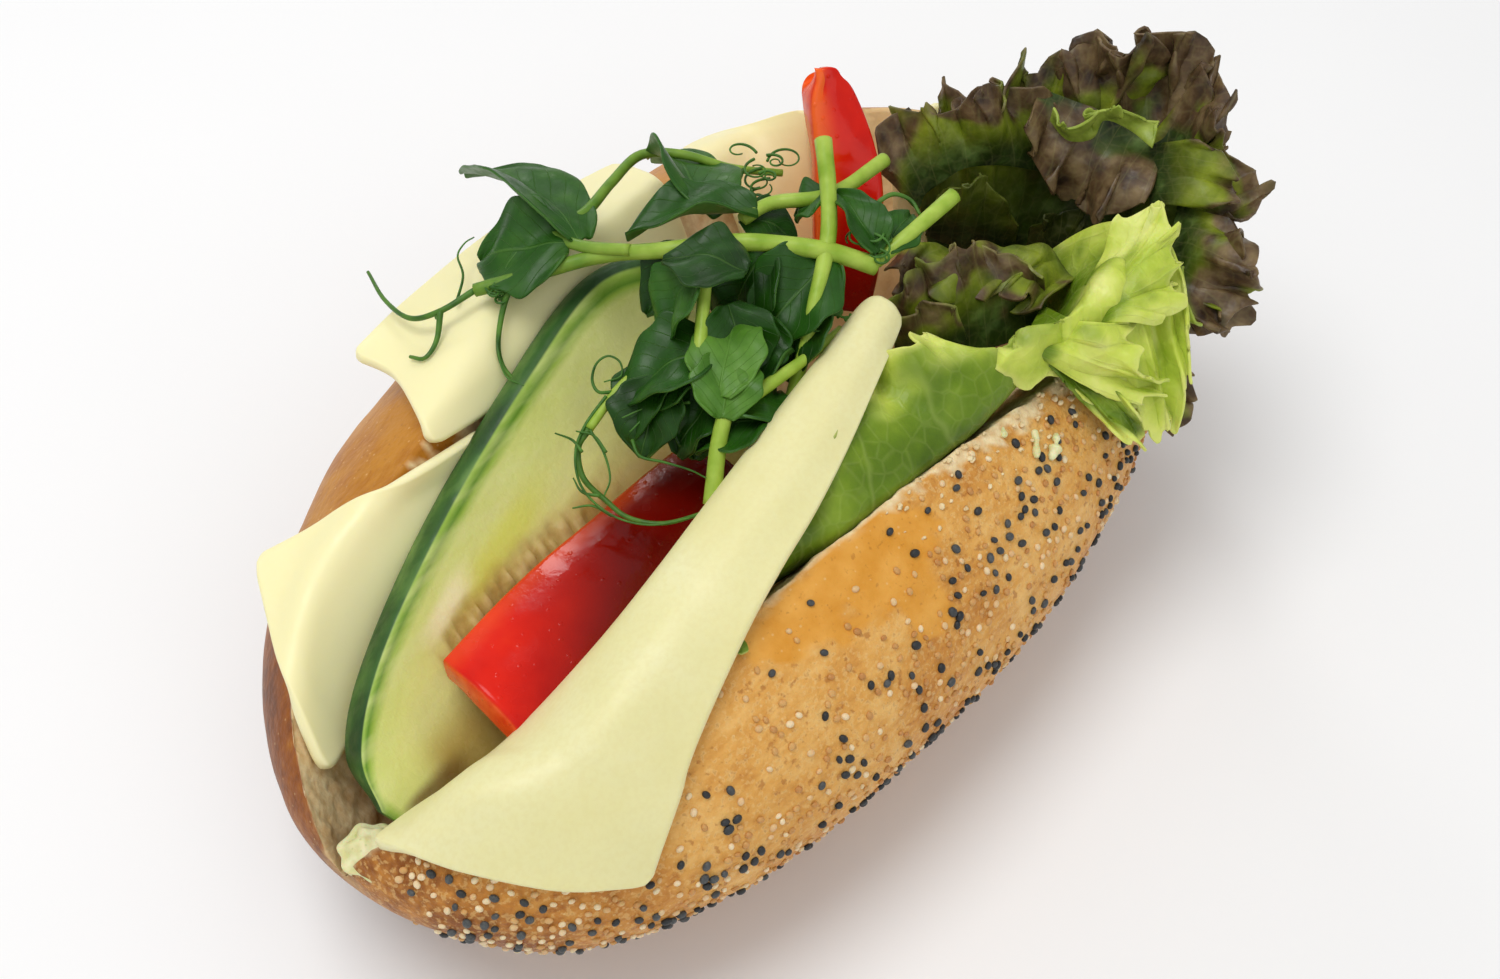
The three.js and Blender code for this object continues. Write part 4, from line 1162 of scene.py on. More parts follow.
def make_peppers():
    look = pepper_look()
    for name, rows in PEPPER_STRIPS.items():
        surface = pepper_surface(name, rows)
        form = sheet(surface, PEPPER.columns, PEPPER.rows, PEPPER.thickness, PEPPER.rim, PEPPER.squareness)
        s, t = form.values["s"], form.values["t"]
        # Painted light and shade: the far strip is a lighter orange at its left edge and is painted darker
        # low down as shade; the front one has a painted highlight at its left edge and painted shade at its
        # far end
        if name == "pepper_far":
            form.values["bright"] = ease(0.6, 0.15, s + 0.3 * t)
            form.values["shade"] = 0.7 * ease(0.45, 0.9, t)
        else:
            form.values["bright"] = 0.25 * ease(0.3, 0.1, s)
            form.values["shade"] = 0.95 * ease(0.1, 0.75, t + 0.4 * (s - 0.3))
        piece(name + "_strip", form, look, "red_pepper", name)


# Leaves and folds of leaves: rows of points from where each starts to its frilled margin. Waves, ruffle and
# teeth are the slow ones of the solids, frill is the small folds' height, jag that of the margin's teeth
# and tooth their distance. Red and lime are the shares of the way out where the leaf turns red or pale
# green, 2 for nowhere. Drift moves lime along the leaf, and spots makes both uneven. Fan draws the margin's
# ends in, calm is how far along the leaf frills are few, and the last key paints shade on a fold deep inside
USUAL_LEAF = {
    "waves": 0, "ruffle": 0, "teeth": 0, "tooth": 3.8, "red": 2.0, "lime": 2.0, "drift": 0, "spots": 0.35,
    "fan": 0.35, "calm": 0, "dim": 0.0,
}


def leaf_with(**given):
    return Sizes(**{**USUAL_LEAF, **given})


LETTUCE_LEAVES = {
    "lettuce_green": leaf_with(
        waves=4.5, ruffle=2.4, teeth=1.8, frill=0.8, jag=1.5, tooth=4.5, lime=0.7, drift=1.1, calm=0.42,
        spots=0.2, fan=0,
        rows=[
            [[-37, -23, 48], [-34, -26.5, 56], [-32, -25, 60], [-30, -23, 62]],
            [[-14, -27, 47], [-12, -33, 57.5], [-8, -28, 63], [-4, -22.5, 65]],
            [[14, -29, 46], [15, -37, 57.5], [14, -32, 64.5], [12, -24, 67]],
            [[32, -32, 47], [35, -37, 59.5], [32, -40, 66.5], [28, -46, 55]],
            [[44, -28, 46], [48, -35, 61], [46, -43, 66.5], [36.6, -58.4, 47.8]],
            [[52, -20, 48], [56, -31, 62], [56, -42, 66], [47, -55, 58]],
        ]),
    "lettuce_inner": leaf_with(
        waves=3, ruffle=2.4, teeth=1.8, frill=2.4, jag=1.4, red=0.8, fan=0,
        rows=[
            [[46, -3, 42], [40, -6, 55], [34, -8, 60], [29, -9, 60]],
            [[50, -12, 40], [43, -13, 56], [34, -14, 62], [26, -14, 58]],
            [[52, -20, 40], [46, -20, 57], [38, -20.5, 63], [29, -20.5, 60]],
            [[54, -26, 44], [50, -26, 58], [43, -27, 62], [36, -27, 60]],
            [[54, -32, 46], [50, -32, 55], [43, -32, 58], [36, -31, 57]],
        ]),
    "lettuce_red": leaf_with(
        waves=4.5, ruffle=4.5, teeth=2.2, frill=2.4, jag=1.8, red=0.72, fan=0,
        rows=[
            [[50, -6, 36], [52, -1, 50], [53, 3, 60], [54, 6, 66]],
            [[58, -12, 30], [63, -9, 50], [67, -6, 62], [70, -5, 71]],
            [[61, -13, 27], [73, -15, 50], [80, -18, 65], [85, -21, 77]],
            [[58, -16, 30], [73, -28, 52], [81, -35, 65], [83, -38, 72]],
            [[52, -23, 38], [64, -40, 54], [67, -48, 61], [68, -52, 64]],
            [[44, -30, 50], [54, -44, 56], [55, -53, 56], [54, -58, 54]],
        ]),
}

# Folds of the green leaf's far margin, each through rows from the leaf out to its teeth
GREEN_LAYERS = (
    leaf_with(frill=1.7, jag=2.0, lime=0.45, fan=0.2, rows=[
        [[42.5, -36.6, 62.4], [48.9, -36.7, 65.3], [54.7, -35.9, 70]],
        [[39, -39.8, 66], [48.2, -40.3, 67.9], [56.2, -40.3, 73]],
        [[37.7, -41.5, 65.8], [45.6, -42.9, 68], [54.4, -44.2, 70.7]],
        [[36.5, -42.3, 65.1], [41.4, -45.4, 67.4], [49.4, -47.6, 67.2]],
        [[35.7, -42.6, 64.2], [38.6, -46.1, 66.8], [47.1, -51.2, 64.1]],
        [[35, -42.6, 63.2], [35.4, -46.4, 65.8], [42.7, -50.2, 61.5]],
    ]),
    leaf_with(frill=1.6, jag=2.0, lime=0.35, fan=0.2, rows=[
        [[40.5, -31, 56], [32.5, -42.8, 65.4], [42, -48.6, 62.7]],
        [[33.1, -32.7, 57.5], [29.6, -42.8, 64.5], [34, -49.8, 64]],
        [[25.3, -36.5, 64.1], [29.5, -44.2, 62], [33.6, -52.6, 61]],
        [[23.9, -37.4, 64.1], [29.2, -45.7, 59.4], [37.5, -55.6, 54.9]],
        [[24.3, -38.2, 62.8], [28.9, -46.2, 57], [33.8, -56.2, 54]],
    ]),
    leaf_with(frill=1.2, jag=1.2, lime=0.75, fan=0.2, rows=[
        [[31.6, -44.8, 56.1], [30.6, -50.8, 56.3], [31.2, -55.4, 52.8]],
        [[30.8, -44.5, 55.5], [29.6, -50.7, 54.8], [32, -56, 47.8]],
        [[29.3, -43.5, 56.1], [29.2, -48.5, 53.6], [27.8, -56, 49.4]],
        [[27.2, -41.6, 58.5], [28.8, -45.8, 54.6], [27.8, -51.8, 51.2]],
        [[25.5, -39.6, 61], [26.5, -43, 58.2], [28.4, -47.4, 52]],
    ]),
)

# Folds of the red leaf that stand in front of one another, with rows from the hidden edge to the margin
RED_LAYERS = {
    "back": leaf_with(frill=2.4, jag=1.7, red=0.3, rows=[
        [[75.1, -16.6, 57.9], [76, -11.9, 65], [77.7, -7.1, 72.3]],
        [[76.9, -19.5, 58.1], [77.6, -16.4, 68.2], [81.4, -12.2, 75.9]],
        [[79.2, -24.1, 58.9], [80.8, -21.4, 68.6], [82.1, -20.4, 77.5]],
        [[78.4, -30.8, 61.7], [85.5, -27.9, 68.7], [89.4, -26.6, 79]],
        [[76.7, -36.2, 63.5], [80, -36.5, 71.1], [86.9, -36.6, 74]],
        [[74.8, -38.7, 60.6], [77.3, -40.5, 65.3], [79.3, -43.3, 69.7]],
    ]),
    "left": leaf_with(frill=2.6, jag=1.8, red=0.72, rows=[
        [[50, -0.7, 53.1], [47.1, 3.6, 59.3], [44.6, 9.4, 64.2]],
        [[51.4, -0.9, 56.1], [50.2, 3.3, 64.4], [51.6, 7.6, 70.4]],
        [[53.8, -2.7, 58.3], [54.1, -0.2, 65.7], [55.9, 3.1, 70.1]],
        [[57.1, -5, 60.3], [56.8, -3.5, 66.4], [58.2, -1.2, 70.7]],
        [[61.8, -9.2, 59.9], [59.8, -7.7, 68.6], [61.9, -4.4, 74.1]],
        [[67.7, -13.1, 56.6], [68, -10.8, 64.7], [68.7, -7.6, 73.3]],
        [[70.5, -17, 55.7], [71.7, -14.3, 63.5], [74.8, -10.8, 70.6]],
    ]),
    "middle": leaf_with(frill=2.8, jag=1.4, red=0.25, rows=[
        [[71.7, -9.7, 70.3], [66.4, -11.2, 68.7], [62.6, -11.5, 65.6]],
        [[74, -14.9, 68.8], [67.5, -15.3, 65.7], [64, -15.4, 60]],
        [[75.7, -20.5, 67.8], [68.7, -21.3, 62.9], [64.8, -21.1, 56.1]],
        [[78.4, -26.1, 64.4], [69.7, -27.4, 62.3], [62.6, -28.6, 56.3]],
        [[76.2, -32.3, 65.1], [68.4, -34, 63.7], [64.1, -33.5, 58.8]],
    ]),
    "lime": leaf_with(frill=2.0, jag=2.2, lime=-0.2, rows=[
        [[68.1, -14.2, 68], [67.9, -14.7, 71.8]],
        [[67.7, -18.2, 66], [67.4, -19.2, 70.5]],
        [[69.9, -21.5, 66.5], [69.1, -22.1, 71.6]],
        [[71.2, -22.5, 70], [70.7, -22.5, 73.9]],
        [[73.5, -26.5, 68.3], [73.6, -26.4, 72.5]],
        [[72.2, -31.5, 67.8], [73.8, -31.4, 71]],
    ]),
    "right": leaf_with(frill=2.4, jag=1.6, red=0.75, rows=[
        [[76.2, -29.5, 64.8], [74.1, -36.5, 70.8], [74.5, -42.9, 72.5]],
        [[72.2, -31.7, 62.7], [70.3, -39.5, 68.1], [72.6, -46.7, 68.1]],
        [[68.2, -34.8, 59.9], [67.7, -42.6, 64.4], [69.1, -51.3, 66.6]],
    ]),
    "low_right": leaf_with(frill=2.2, jag=1.6, red=0.6, rows=[
        [[71.3, -38.5, 59.6], [68.4, -45.9, 64.1], [69.5, -52.3, 66]],
        [[66.2, -40.5, 57.7], [61.5, -48.9, 64.3], [61.7, -57.6, 64.7]],
        [[60.2, -43, 57.5], [58.1, -49.8, 59.9], [59.7, -58.1, 58.1]],
        [[55.4, -44.9, 57.1], [53.7, -50, 56.7], [53.8, -55.9, 53.3]],
        [[53, -45.7, 56.1], [51.5, -48.7, 54.5], [50.7, -52.2, 51.9]],
    ]),
    "beside_green": leaf_with(frill=2.0, jag=1.5, red=0.85, lime=0.5, rows=[
        [[63.4, -34.1, 55.1], [60.9, -43, 61.9]],
        [[57.1, -38, 55.7], [52.5, -49.1, 62.1]],
        [[50.8, -42.2, 57.6], [49.8, -52.5, 59.4]],
        [[49.9, -44, 54.8], [46.6, -53.1, 54.8]],
    ]),
    "lowest": leaf_with(frill=1.5, jag=1.6, red=0.7, rows=[
        [[50.9, -46, 51], [51.8, -50.8, 52]],
        [[47.6, -48.7, 48.3], [49, -55.6, 47.2]],
        [[44.1, -50.5, 44.7], [46.3, -58, 43.8]],
        [[41.5, -51.4, 42], [41.8, -58.7, 39.9]],
    ]),
    "cavity": leaf_with(frill=1.8, jag=0.9, dim=0.65, rows=[
        [[50.2, -2.4, 48.5], [50.3, -3.7, 56.2], [51.3, -5.2, 61.4]],
        [[53.7, -6.7, 45.6], [52.8, -7.7, 54.9], [53.2, -8.6, 62.3]],
        [[57.9, -10.5, 43.7], [56.3, -11.4, 52.9], [56.7, -11.6, 59.2]],
        [[64.2, -13.3, 40.4], [62.7, -13.6, 45.3], [61.2, -13.1, 51]],
    ]),
    "cavity_right": leaf_with(frill=1.8, jag=0.9, dim=0.85, rows=[
        [[63.8, -14.9, 38.7], [63.8, -15.7, 44.6], [64.3, -15.1, 49.8]],
        [[64.3, -19.4, 40.9], [65, -19.7, 45.9], [66.3, -19.3, 51.3]],
        [[65.4, -23.3, 45.1], [66.6, -24, 48.9], [68, -24.6, 52.2]],
    ]),
}

# Folds of the inner leaf beside the front slice's tip
INNER_LAYERS = (
    leaf_with(frill=2.2, jag=1.4, red=0.62, lime=1.0, fan=0.25, rows=[
        [[22.2, -16.4, 53], [20.8, -14, 59], [20.5, -12.3, 64]],
        [[23.4, -20.5, 53], [22.3, -17.7, 60], [23.6, -14.6, 66]],
        [[26.1, -23.6, 52], [26.7, -20.4, 61], [28, -16.2, 67]],
        [[30.8, -26.5, 51], [32.4, -22.4, 61], [34.1, -18.3, 67]],
        [[37.2, -29.1, 50], [37.7, -25.8, 61], [38.7, -23.3, 65]],
        [[42.3, -31.5, 52], [40.8, -29.9, 61], [39.9, -29.3, 64]],
    ]),
    leaf_with(frill=1.8, jag=1.2, red=0.75, lime=1.0, fan=0.3, rows=[
        [[19.2, -16.4, 54], [18.8, -16, 58], [18.7, -14.5, 61]],
        [[19.4, -20.6, 55], [18.3, -19.7, 60], [17.9, -18.4, 64]],
        [[22.3, -23.8, 56], [21.4, -22.5, 61], [20.9, -20.9, 66]],
        [[26.2, -25.5, 57], [26, -23.6, 61], [25.7, -22.5, 65]],
    ]),
)

# A scrap of green leaf that shows below the front slice
SCRAP = leaf_with(frill=0.4, jag=0.5, fan=0.3, rows=[
    [[-41.5, -29.5, 58.2], [-42.3, -33.2, 57]],
    [[-43, -29.5, 57.5], [-44.6, -32.6, 56.4]],
])

# The slow ruffle's second wave, and its teeth, beside its first wave
RUFFLE = Sizes(second=2.3, second_share=0.4, second_shift=1, tooth_rate=2.1, tooth_shift=2)

# Frills of three sizes: each wave's length, its height beside the first, and where on the way out it starts
FRILLS = ((12.5, 1.0, 0.1), (5.6, 0.4, 0.4), (2.8, 0.1, 0.65))

# How far frills lean, wander and vary, where they are full, the quilted face, and how still a calm part is
FRILL = Sizes(
    overhang=0.6, wander=2.2, uneven=0.7, full=1.1, quilt=0.55, quilt_size=4.5, still=0.15, fade=0.15,
)

# The margin's teeth: how unevenly they follow, how sharp and uneven they are, and where they start
TOOTH = Sizes(wander=0.8, wander_size=6, sharpness=1.15, uneven=0.8, uneven_size=3, inner=0.75, sunk=0.4)

# A leaf's sheet, and how unevenly and how softly its colours change
LEAF = Sizes(
    thickness=0.5, rim=0.2, spot_size=6, small_spot=0.5, small_size=2.5, red_fade=0.12, lime_fade=0.2,
)


def frilled(leaf, seed):
    """A leaf's surface, with folds that grow and multiply towards its torn margin"""
    base = patch(leaf.rows)
    margin = base(np.ones(200), np.linspace(0, 1, 200))
    length = np.linalg.norm(np.diff(margin, axis=0), axis=-1).sum()

    def place(s, t):
        from_middle = np.abs(2 * t - 1)
        out_share = s * (1 - leaf.fan * from_middle ** 4)
        point = base(out_share, t)
        lengthways = heading(lambda places: base(out_share, places), t)
        crossways = heading(lambda places: base(places, t), out_share)
        normal = unit(np.cross(crossways, lengthways))
        turn = 2 * math.pi * leaf.waves * t
        wave = np.sin(turn) + RUFFLE.second_share * np.sin(RUFFLE.second * turn + RUFFLE.second_shift)
        out = FRILL.quilt * s * rough(point, FRILL.quilt_size, 2, seed) + leaf.ruffle * s * s * wave
        sideways = leaf.teeth * s ** 4 * np.sin(RUFFLE.tooth_rate * turn + RUFFLE.tooth_shift)
        ahead = np.zeros_like(s)
        lively = FRILL.still + (1 - FRILL.still) * ease(leaf.calm - FRILL.fade, leaf.calm, t)
        lively = lively * (1 - 2 * leaf.fan * from_middle ** 6)
        for number, (wave_length, share, start) in enumerate(FRILLS):
            wander = noise(point, 1.5 * wave_length, seed + 3 * number + 1)
            phase = 2 * math.pi * length * t / wave_length + FRILL.wander * wander + seed
            strength = 1 + FRILL.uneven * noise(point, 2 * wave_length, seed + 3 * number + 2)
            grown = leaf.frill * share * strength * ease(start, FRILL.full, s) * lively
            out = out + grown * np.sin(phase)
            ahead = ahead + FRILL.overhang * grown * np.sin(2 * phase)
        along = length * t / leaf.tooth + TOOTH.wander * noise(point, TOOTH.wander_size, seed + 20)
        spike = (1 - 2 * np.abs(along - np.floor(along) - 0.5)) ** TOOTH.sharpness
        height = 1 + TOOTH.uneven * noise(point, TOOTH.uneven_size, seed + 21)
        sideways = sideways + leaf.jag * lively * ease(TOOTH.inner, 1, s) * (spike * height - TOOTH.sunk)
        moved = point + normal * out[..., None] + lengthways * ahead[..., None]
        return moved + crossways * sideways[..., None]

    return place


def leaf_form(leaf, columns, rows, seed):
    """A leaf's sheet, with how red, pale green and dark it is"""
    form = sheet(frilled(leaf, seed), columns, rows, LEAF.thickness, LEAF.rim, dim=leaf.dim)
    spots = noise(form.points, LEAF.spot_size, seed + 30)
    spots = spots + LEAF.small_spot * noise(form.points, LEAF.small_size, seed + 31)
    outward = form.values["s"] + leaf.spots * spots
    form.values["redness"] = ease(leaf.red - LEAF.red_fade, leaf.red + LEAF.red_fade, outward)
    lime_at = leaf.lime + leaf.drift * (0.5 - form.values["t"])
    form.values["lime"] = ease(lime_at - LEAF.lime_fade, lime_at + LEAF.lime_fade, outward)
    return form


def folds(layers, columns, rows, first_seed):
    """Several folds of a leaf, each with frills of its own"""
    return [leaf_form(layer, columns, rows, first_seed + 7 * number) for number, layer in enumerate(layers)]


def green_leaf_look():
    look = Look("green_lettuce", specular_ior_level=0.3, subsurface_weight=0.2, subsurface_scale=0.002,
                subsurface_radius=(0.6, 1, 0.2))
    deep = look.ramp(look.noise(8, 4), (0.25, (74, 102, 10)), (0.5, (100, 130, 20)), (0.8, (136, 162, 40)))
    bright = look.ramp(
        look.noise(7, 4), (0.3, (172, 194, 58)), (0.5, (204, 220, 90)), (0.75, (230, 238, 136)))
    colour = look.mix(look.number("lime"), deep, bright)
    net = look.between(look.cells(3.2, "DISTANCE_TO_EDGE"), 0.1, 0.0)
    veins = look.larger(look.lines(look.number("t"), 8, 0.07, 0.7), look.times(net, 0.5))
    colour = look.mix(look.times(veins, 0.13), colour, (206, 218, 128))
    margin = look.between(look.number("s"), 0.93, 1.0, 0, 0.5)
    look.set("Base Color", look.mix(margin, colour, (222, 226, 132)))
    look.set("Roughness", look.between(look.noise(3, 2), 0.3, 0.7, 0.32, 0.5))
    look.bump(look.noise(2.6, 3), 0.45, 0.7)
    look.bump(veins, 0.15, 0.5)
    return look.material


def red_leaf_look():
    look = Look("red_lettuce", specular_ior_level=0.4, subsurface_weight=0.1, subsurface_scale=0.0015,
                subsurface_radius=(0.6, 0.8, 0.2))
    shade = look.between(look.number("s"), 0.15, 0.7)
    dark = look.ramp(look.noise(5, 4), (0.3, (20, 30, 4)), (0.55, (50, 70, 20)), (0.8, (110, 138, 70)))
    fresh = look.ramp(look.noise(4, 4), (0.3, (92, 108, 16)), (0.6, (134, 148, 34)), (0.85, (172, 182, 68)))
    green = look.mix(shade, dark, fresh)
    red = look.ramp(look.noise(4, 4), (0.3, (46, 30, 18)), (0.5, (90, 68, 42)), (0.75, (138, 116, 80)))
    colour = look.mix(look.number("redness"), green, red)
    lime = look.ramp(look.noise(4, 3), (0.3, (118, 140, 36)), (0.7, (170, 188, 78)))
    colour = look.mix(look.number("lime"), colour, lime)
    # Painted shade on folds that stand deep inside
    colour = look.mix(look.number("dim"), colour, (14, 22, 2))
    net = look.between(look.cells(2.6, "DISTANCE_TO_EDGE"), 0.12, 0.0)
    veins = look.larger(look.lines(look.number("t"), 9, 0.06, 0.8), look.times(net, 0.5))
    look.set("Base Color", look.mix(look.times(veins, 0.16), colour, (160, 156, 100)))
    look.set("Roughness", look.between(look.noise(3, 2), 0.3, 0.7, 0.36, 0.58))
    look.bump(look.noise(2.4, 2), 0.5, 0.6)
    return look.material


def make_lettuce():
    """Each leaf is one piece with its folds, whose sheets are given by columns, rows and a seed"""
    green, red = green_leaf_look(), red_leaf_look()
    leaves = LETTUCE_LEAVES
    bright = [leaf_form(leaves["lettuce_green"], 64, 320, 5), leaf_form(SCRAP, 10, 14, 6)]
    piece("lettuce_green_leaf", joined(bright + folds(GREEN_LAYERS, 34, 150, 80)), green, "green_lettuce",
          "lettuce_green")
    inner = [leaf_form(leaves["lettuce_inner"], 56, 220, 12)] + folds(INNER_LAYERS, 34, 130, 60)
    piece("lettuce_inner_leaf", joined(inner), red, "red_lettuce", "lettuce_inner")
    outer = [leaf_form(leaves["lettuce_red"], 48, 220, 3)] + folds(RED_LAYERS.values(), 20, 96, 40)
    piece("lettuce_red_leaf", joined(outer), red, "red_lettuce", "lettuce_red")


# Pea shoots: each stem's radius at its two ends, and its points

STEMS = (
    (1.1, 1.5, [
        [-18.9, 38.1, 66], [-14.1, 32.7, 68], [-5.5, 23.3, 71.5], [-0.9, 14, 74.5],
        [6.1, 4.9, 76], [12.4, -5.6, 75.5], [17.7, -12.5, 72],
    ]),
    (1.1, 1.2, [[11.5, 8.6, 74.5], [17, 6.8, 75], [23.1, -0.1, 76], [36.9, -1, 74]]),
    (1.4, 1.0, [
        [27.1, 4.4, 82], [20.9, -1, 79], [14.6, -5.5, 76],
        [5.8, -9.5, 72], [0.8, -11.3, 67], [-7.3, -13.6, 60],
    ]),
    (1.3, 1.1, [[34.5, -15.6, 76], [24.7, -14.1, 74.5], [18.4, -12, 72]]),
    (0.7, 1.3, [[7.5, -13.3, 67], [-0.8, -12.5, 67], [-16.3, -9, 66]]),
    (1.2, 1.4, [[-16.3, -9, 66], [-20, -10.5, 63], [-25.9, -13.8, 58]]),
    (0.9, 1.0, [[-3.5, 39, 70], [-6.2, 31.7, 71.5], [-6, 25.6, 72.5], [-3.7, 18.7, 74]]),
    (1.0, 0.6, [
        [-3.5, 33.5, 71], [1.3, 31.9, 71], [8.8, 32.7, 71.5], [16.3, 32.7, 72],
        [20.5, 27.1, 72], [24.4, 20.3, 70], [30.2, 14.3, 68],
    ]),
    (1.1, 1.0, [[-2.6, 4.9, 75], [-12.3, -1.2, 69]]),
    (1.0, 0.7, [[-1.5, 6.5, 75], [-9.6, 6.8, 66], [-18.9, 9.3, 62], [-26.3, 9.3, 59.5]]),
)

# Tendrils thin out from their first point to their last
TENDRILS = (
    [[-18.9, 38.1, 66], [-24.5, 40.5, 64.5], [-26.9, 45.2, 62], [-25.1, 52.8, 60], [-21.4, 60.4, 59]],
    [
        [-26.3, 9.3, 59.5], [-29.3, 9.1, 58], [-32.1, 5.9, 56], [-32.3, 1.4, 54],
        [-32.5, -3.1, 53.5], [-30.4, -8.3, 54], [-26.5, -13.7, 57],
    ],
    [[-24.5, 40.5, 64.5], [-27.9, 38.6, 62], [-31.2, 38.2, 61], [-31.8, 41, 60]],
    [[-14.1, 32.7, 68], [-17.5, 32.9, 66], [-22.5, 30.6, 62], [-24.3, 28.1, 59], [-24.9, 23.3, 58]],
    [[18.4, -12, 72], [23.9, -7.2, 75], [27.6, -8.1, 77], [29.5, -10.7, 76], [28.5, -13.3, 75]],
)
HAIRS = (
    [
        [-20, 9.7, 62], [-21.6, 11.1, 62.5], [-20.6, 13.1, 63], [-18, 14.4, 63.5],
        [-16, 13.7, 64], [-15.9, 11.4, 64], [-17.7, 9.8, 63.5], [-19.5, 11.7, 62.5],
    ],
    [[-20, 9.7, 62], [-17.8, 6, 62.5], [-14.4, 3.2, 64]],
    [
        [-21.2, 9.9, 62], [-26.1, 10, 60], [-30.4, 8.5, 59], [-33.8, 5.3, 58],
        [-35.8, 1, 58], [-36.1, -4.3, 58], [-34.1, -9.1, 58], [-30.4, -13.2, 59],
    ],
    [[-26.7, 8.7, 60], [-28.2, 4.9, 59], [-30.9, 1.5, 58], [-33.8, 0.3, 57.5]],
    [[-30.1, 7.5, 59], [-29.5, 9.9, 59.5], [-29.7, 13.2, 59]],
    [[-28.3, 4.3, 59.5], [-27.2, 7.5, 60], [-28.1, 10.3, 60]],
    [[-34.2, 0.8, 57.5], [-35.2, 3.4, 57.5], [-34.2, 5.9, 58]],
    [[-36, -3, 57.5], [-36.3, 0.5, 57.5], [-38.4, 2.6, 57.5]],
    [[-24.4, 2.4, 60], [-25.9, -0.3, 59.5], [-25, -4.1, 60], [-24.2, -8.4, 60.5], [-24.3, -11.5, 61]],
    [[-16.9, 34.2, 65], [-21.1, 31.4, 63], [-23.8, 29.5, 62], [-25.9, 26.3, 60], [-25.5, 23, 59.5]],
    [[-20.3, 41.5, 62], [-15.6, 44.1, 63], [-13.4, 47.1, 64], [-11.2, 47.4, 65], [-10, 46.3, 66]],
    [[-22.7, 44, 60], [-24.4, 41.7, 59], [-26.7, 40.4, 58], [-29.5, 40.7, 57.5], [-30.1, 42.6, 57.5]],
    [[-5.4, 39.3, 71], [-10.1, 35.9, 70], [-13.7, 35.9, 68], [-15.9, 33.4, 66]],
    [[-16.7, -2.8, 65], [-19.3, 2.5, 63], [-23.2, 5.2, 62]],
    [[-17.8, -1, 63.5], [-20.6, 2.3, 62], [-24, 3.1, 61]],
)

# Tangles of fine curled tendrils: middle, how many and how long
TANGLES = (
    ([27.5, 16.5, 70], 9, 11), ([21, -10.5, 74], 14, 8),
    ([9, -10.5, 68.5], 9, 7), ([-17.5, 34, 66.5], 7, 6),
)
TENDRIL = Sizes(thick=0.55, thin=0.28, hair=0.26, tip=0.12, spread=0.12, rise=1.5, bend=1.5)

# Leaves: stalk, tip, width, roll, how sharply folded, and how light
SHOOT_LEAVES = (
    ([-5, 29.2, 72], [2.7, 60.1, 68], 16, 0.5, 0.3, 0.45),
    ([-7.1, 29.5, 71.5], [-14.4, 43.6, 66], 17, -0.4, 0.15, 0.4),
    ([10.8, 15.3, 73], [22.7, 35, 69], 15, 0.5, 0.5, 0.5),
    ([12.8, 8, 75.5], [-0.3, 24.2, 73], 12, 0.3, 0.5, 0.35),
    ([0.6, 0.4, 77], [-4, 12.9, 77], 13, 0, 0.1, 0.05),
    ([-2.2, 6.5, 75], [-10.5, 8, 66], 14, 0.4, 0.3, 0.5),
    ([-14.6, -7, 68], [0.1, 0.5, 71], 12, -0.1, 0.12, 1.0),
    ([-16.8, -9, 66.5], [-6.9, -3.5, 70.5], 11, 0.1, 0.2, 0.85),
    ([12.4, -7.2, 73.5], [-2.8, -4, 66], 15, -0.2, 0.35, 0.3),
    ([-14.6, -9.5, 65.5], [-4, -10.8, 63], 13, 0.2, 0.3, 0.3),
    ([-10.7, -13.2, 63], [-20.7, -5.3, 60], 14, 0.2, 0.25, 0.3),
    ([-8.6, -1.4, 68], [-21, 9, 62], 16, 0.1, 0.35, 0.3),
    ([-15.3, 3.5, 64], [-25.4, 0.7, 57], 13, 0.2, 0.3, 0.1),
    ([21.4, -0.4, 77], [17.6, 3.4, 73], 9, 0.2, 0.3, 0.4),
    ([18.6, -11.4, 74], [23.5, -0.3, 78], 8, 0.2, 0.6, 0.4),
    ([20.5, -12.2, 73], [30.2, -11.1, 74], 8, 0.2, 0.3, 0.4),
    ([12.9, 9.5, 73], [17.5, 1.5, 70], 10, 0, 0.3, 0.15),
    ([7.6, -9, 70], [-3.5, -9.6, 62], 13, 0.3, 0.3, 0.15),
    ([7.9, 1, 75], [-1.5, 3.6, 62], 14, -0.2, 0.3, 0.1),
    ([0, -9, 66], [-9, -3, 60], 13, 0.3, 0.3, 0.1),
    ([-12, -2, 63], [-20, -6, 56], 11, -0.3, 0.3, 0.15),
    ([-3, 0, 72], [-8, -8, 64], 12, 0.2, 0.3, 0.2),
    ([3, 10, 73], [-8, 14, 66], 11, -0.2, 0.3, 0.05),
    ([-13, 5.5, 64], [-25, 4, 58.5], 11, 0.3, 0.3, 0.2),
    ([-11, -1, 66], [-19, 5.5, 60.5], 12, 0.1, 0.3, 0.35),
    ([0.5, -3.6, 69], [-8.5, -7, 63.5], 11, -0.1, 0.3, 0.25),
    ([-13, -5, 64], [-22, -3, 57.5], 11, 0.2, 0.3, 0.1),
)

# A leaf's sheet, and its form as shares of its length or width: the arch along it, its overlap with the
# stalk, its outline from start to end, how round that is, and the waves of its margin and face
SHOOT_LEAF = Sizes(
    thickness=0.5, rim=0.25, columns=20, rows=36, arch=0.08, overlap=0.06, start=0.04, span=0.93,
    power=0.85, roundness=0.82, notch=0.05, fold_power=1.3, wave=0.05, droop=0.1, wrinkle=0.03,
    uneven=0.25, uneven_size=3,
)


def turned(vector, axis, angle):
    """A vector turned about an axis at right angles to it"""
    return vector * math.cos(angle) + np.cross(axis, vector) * math.sin(angle)


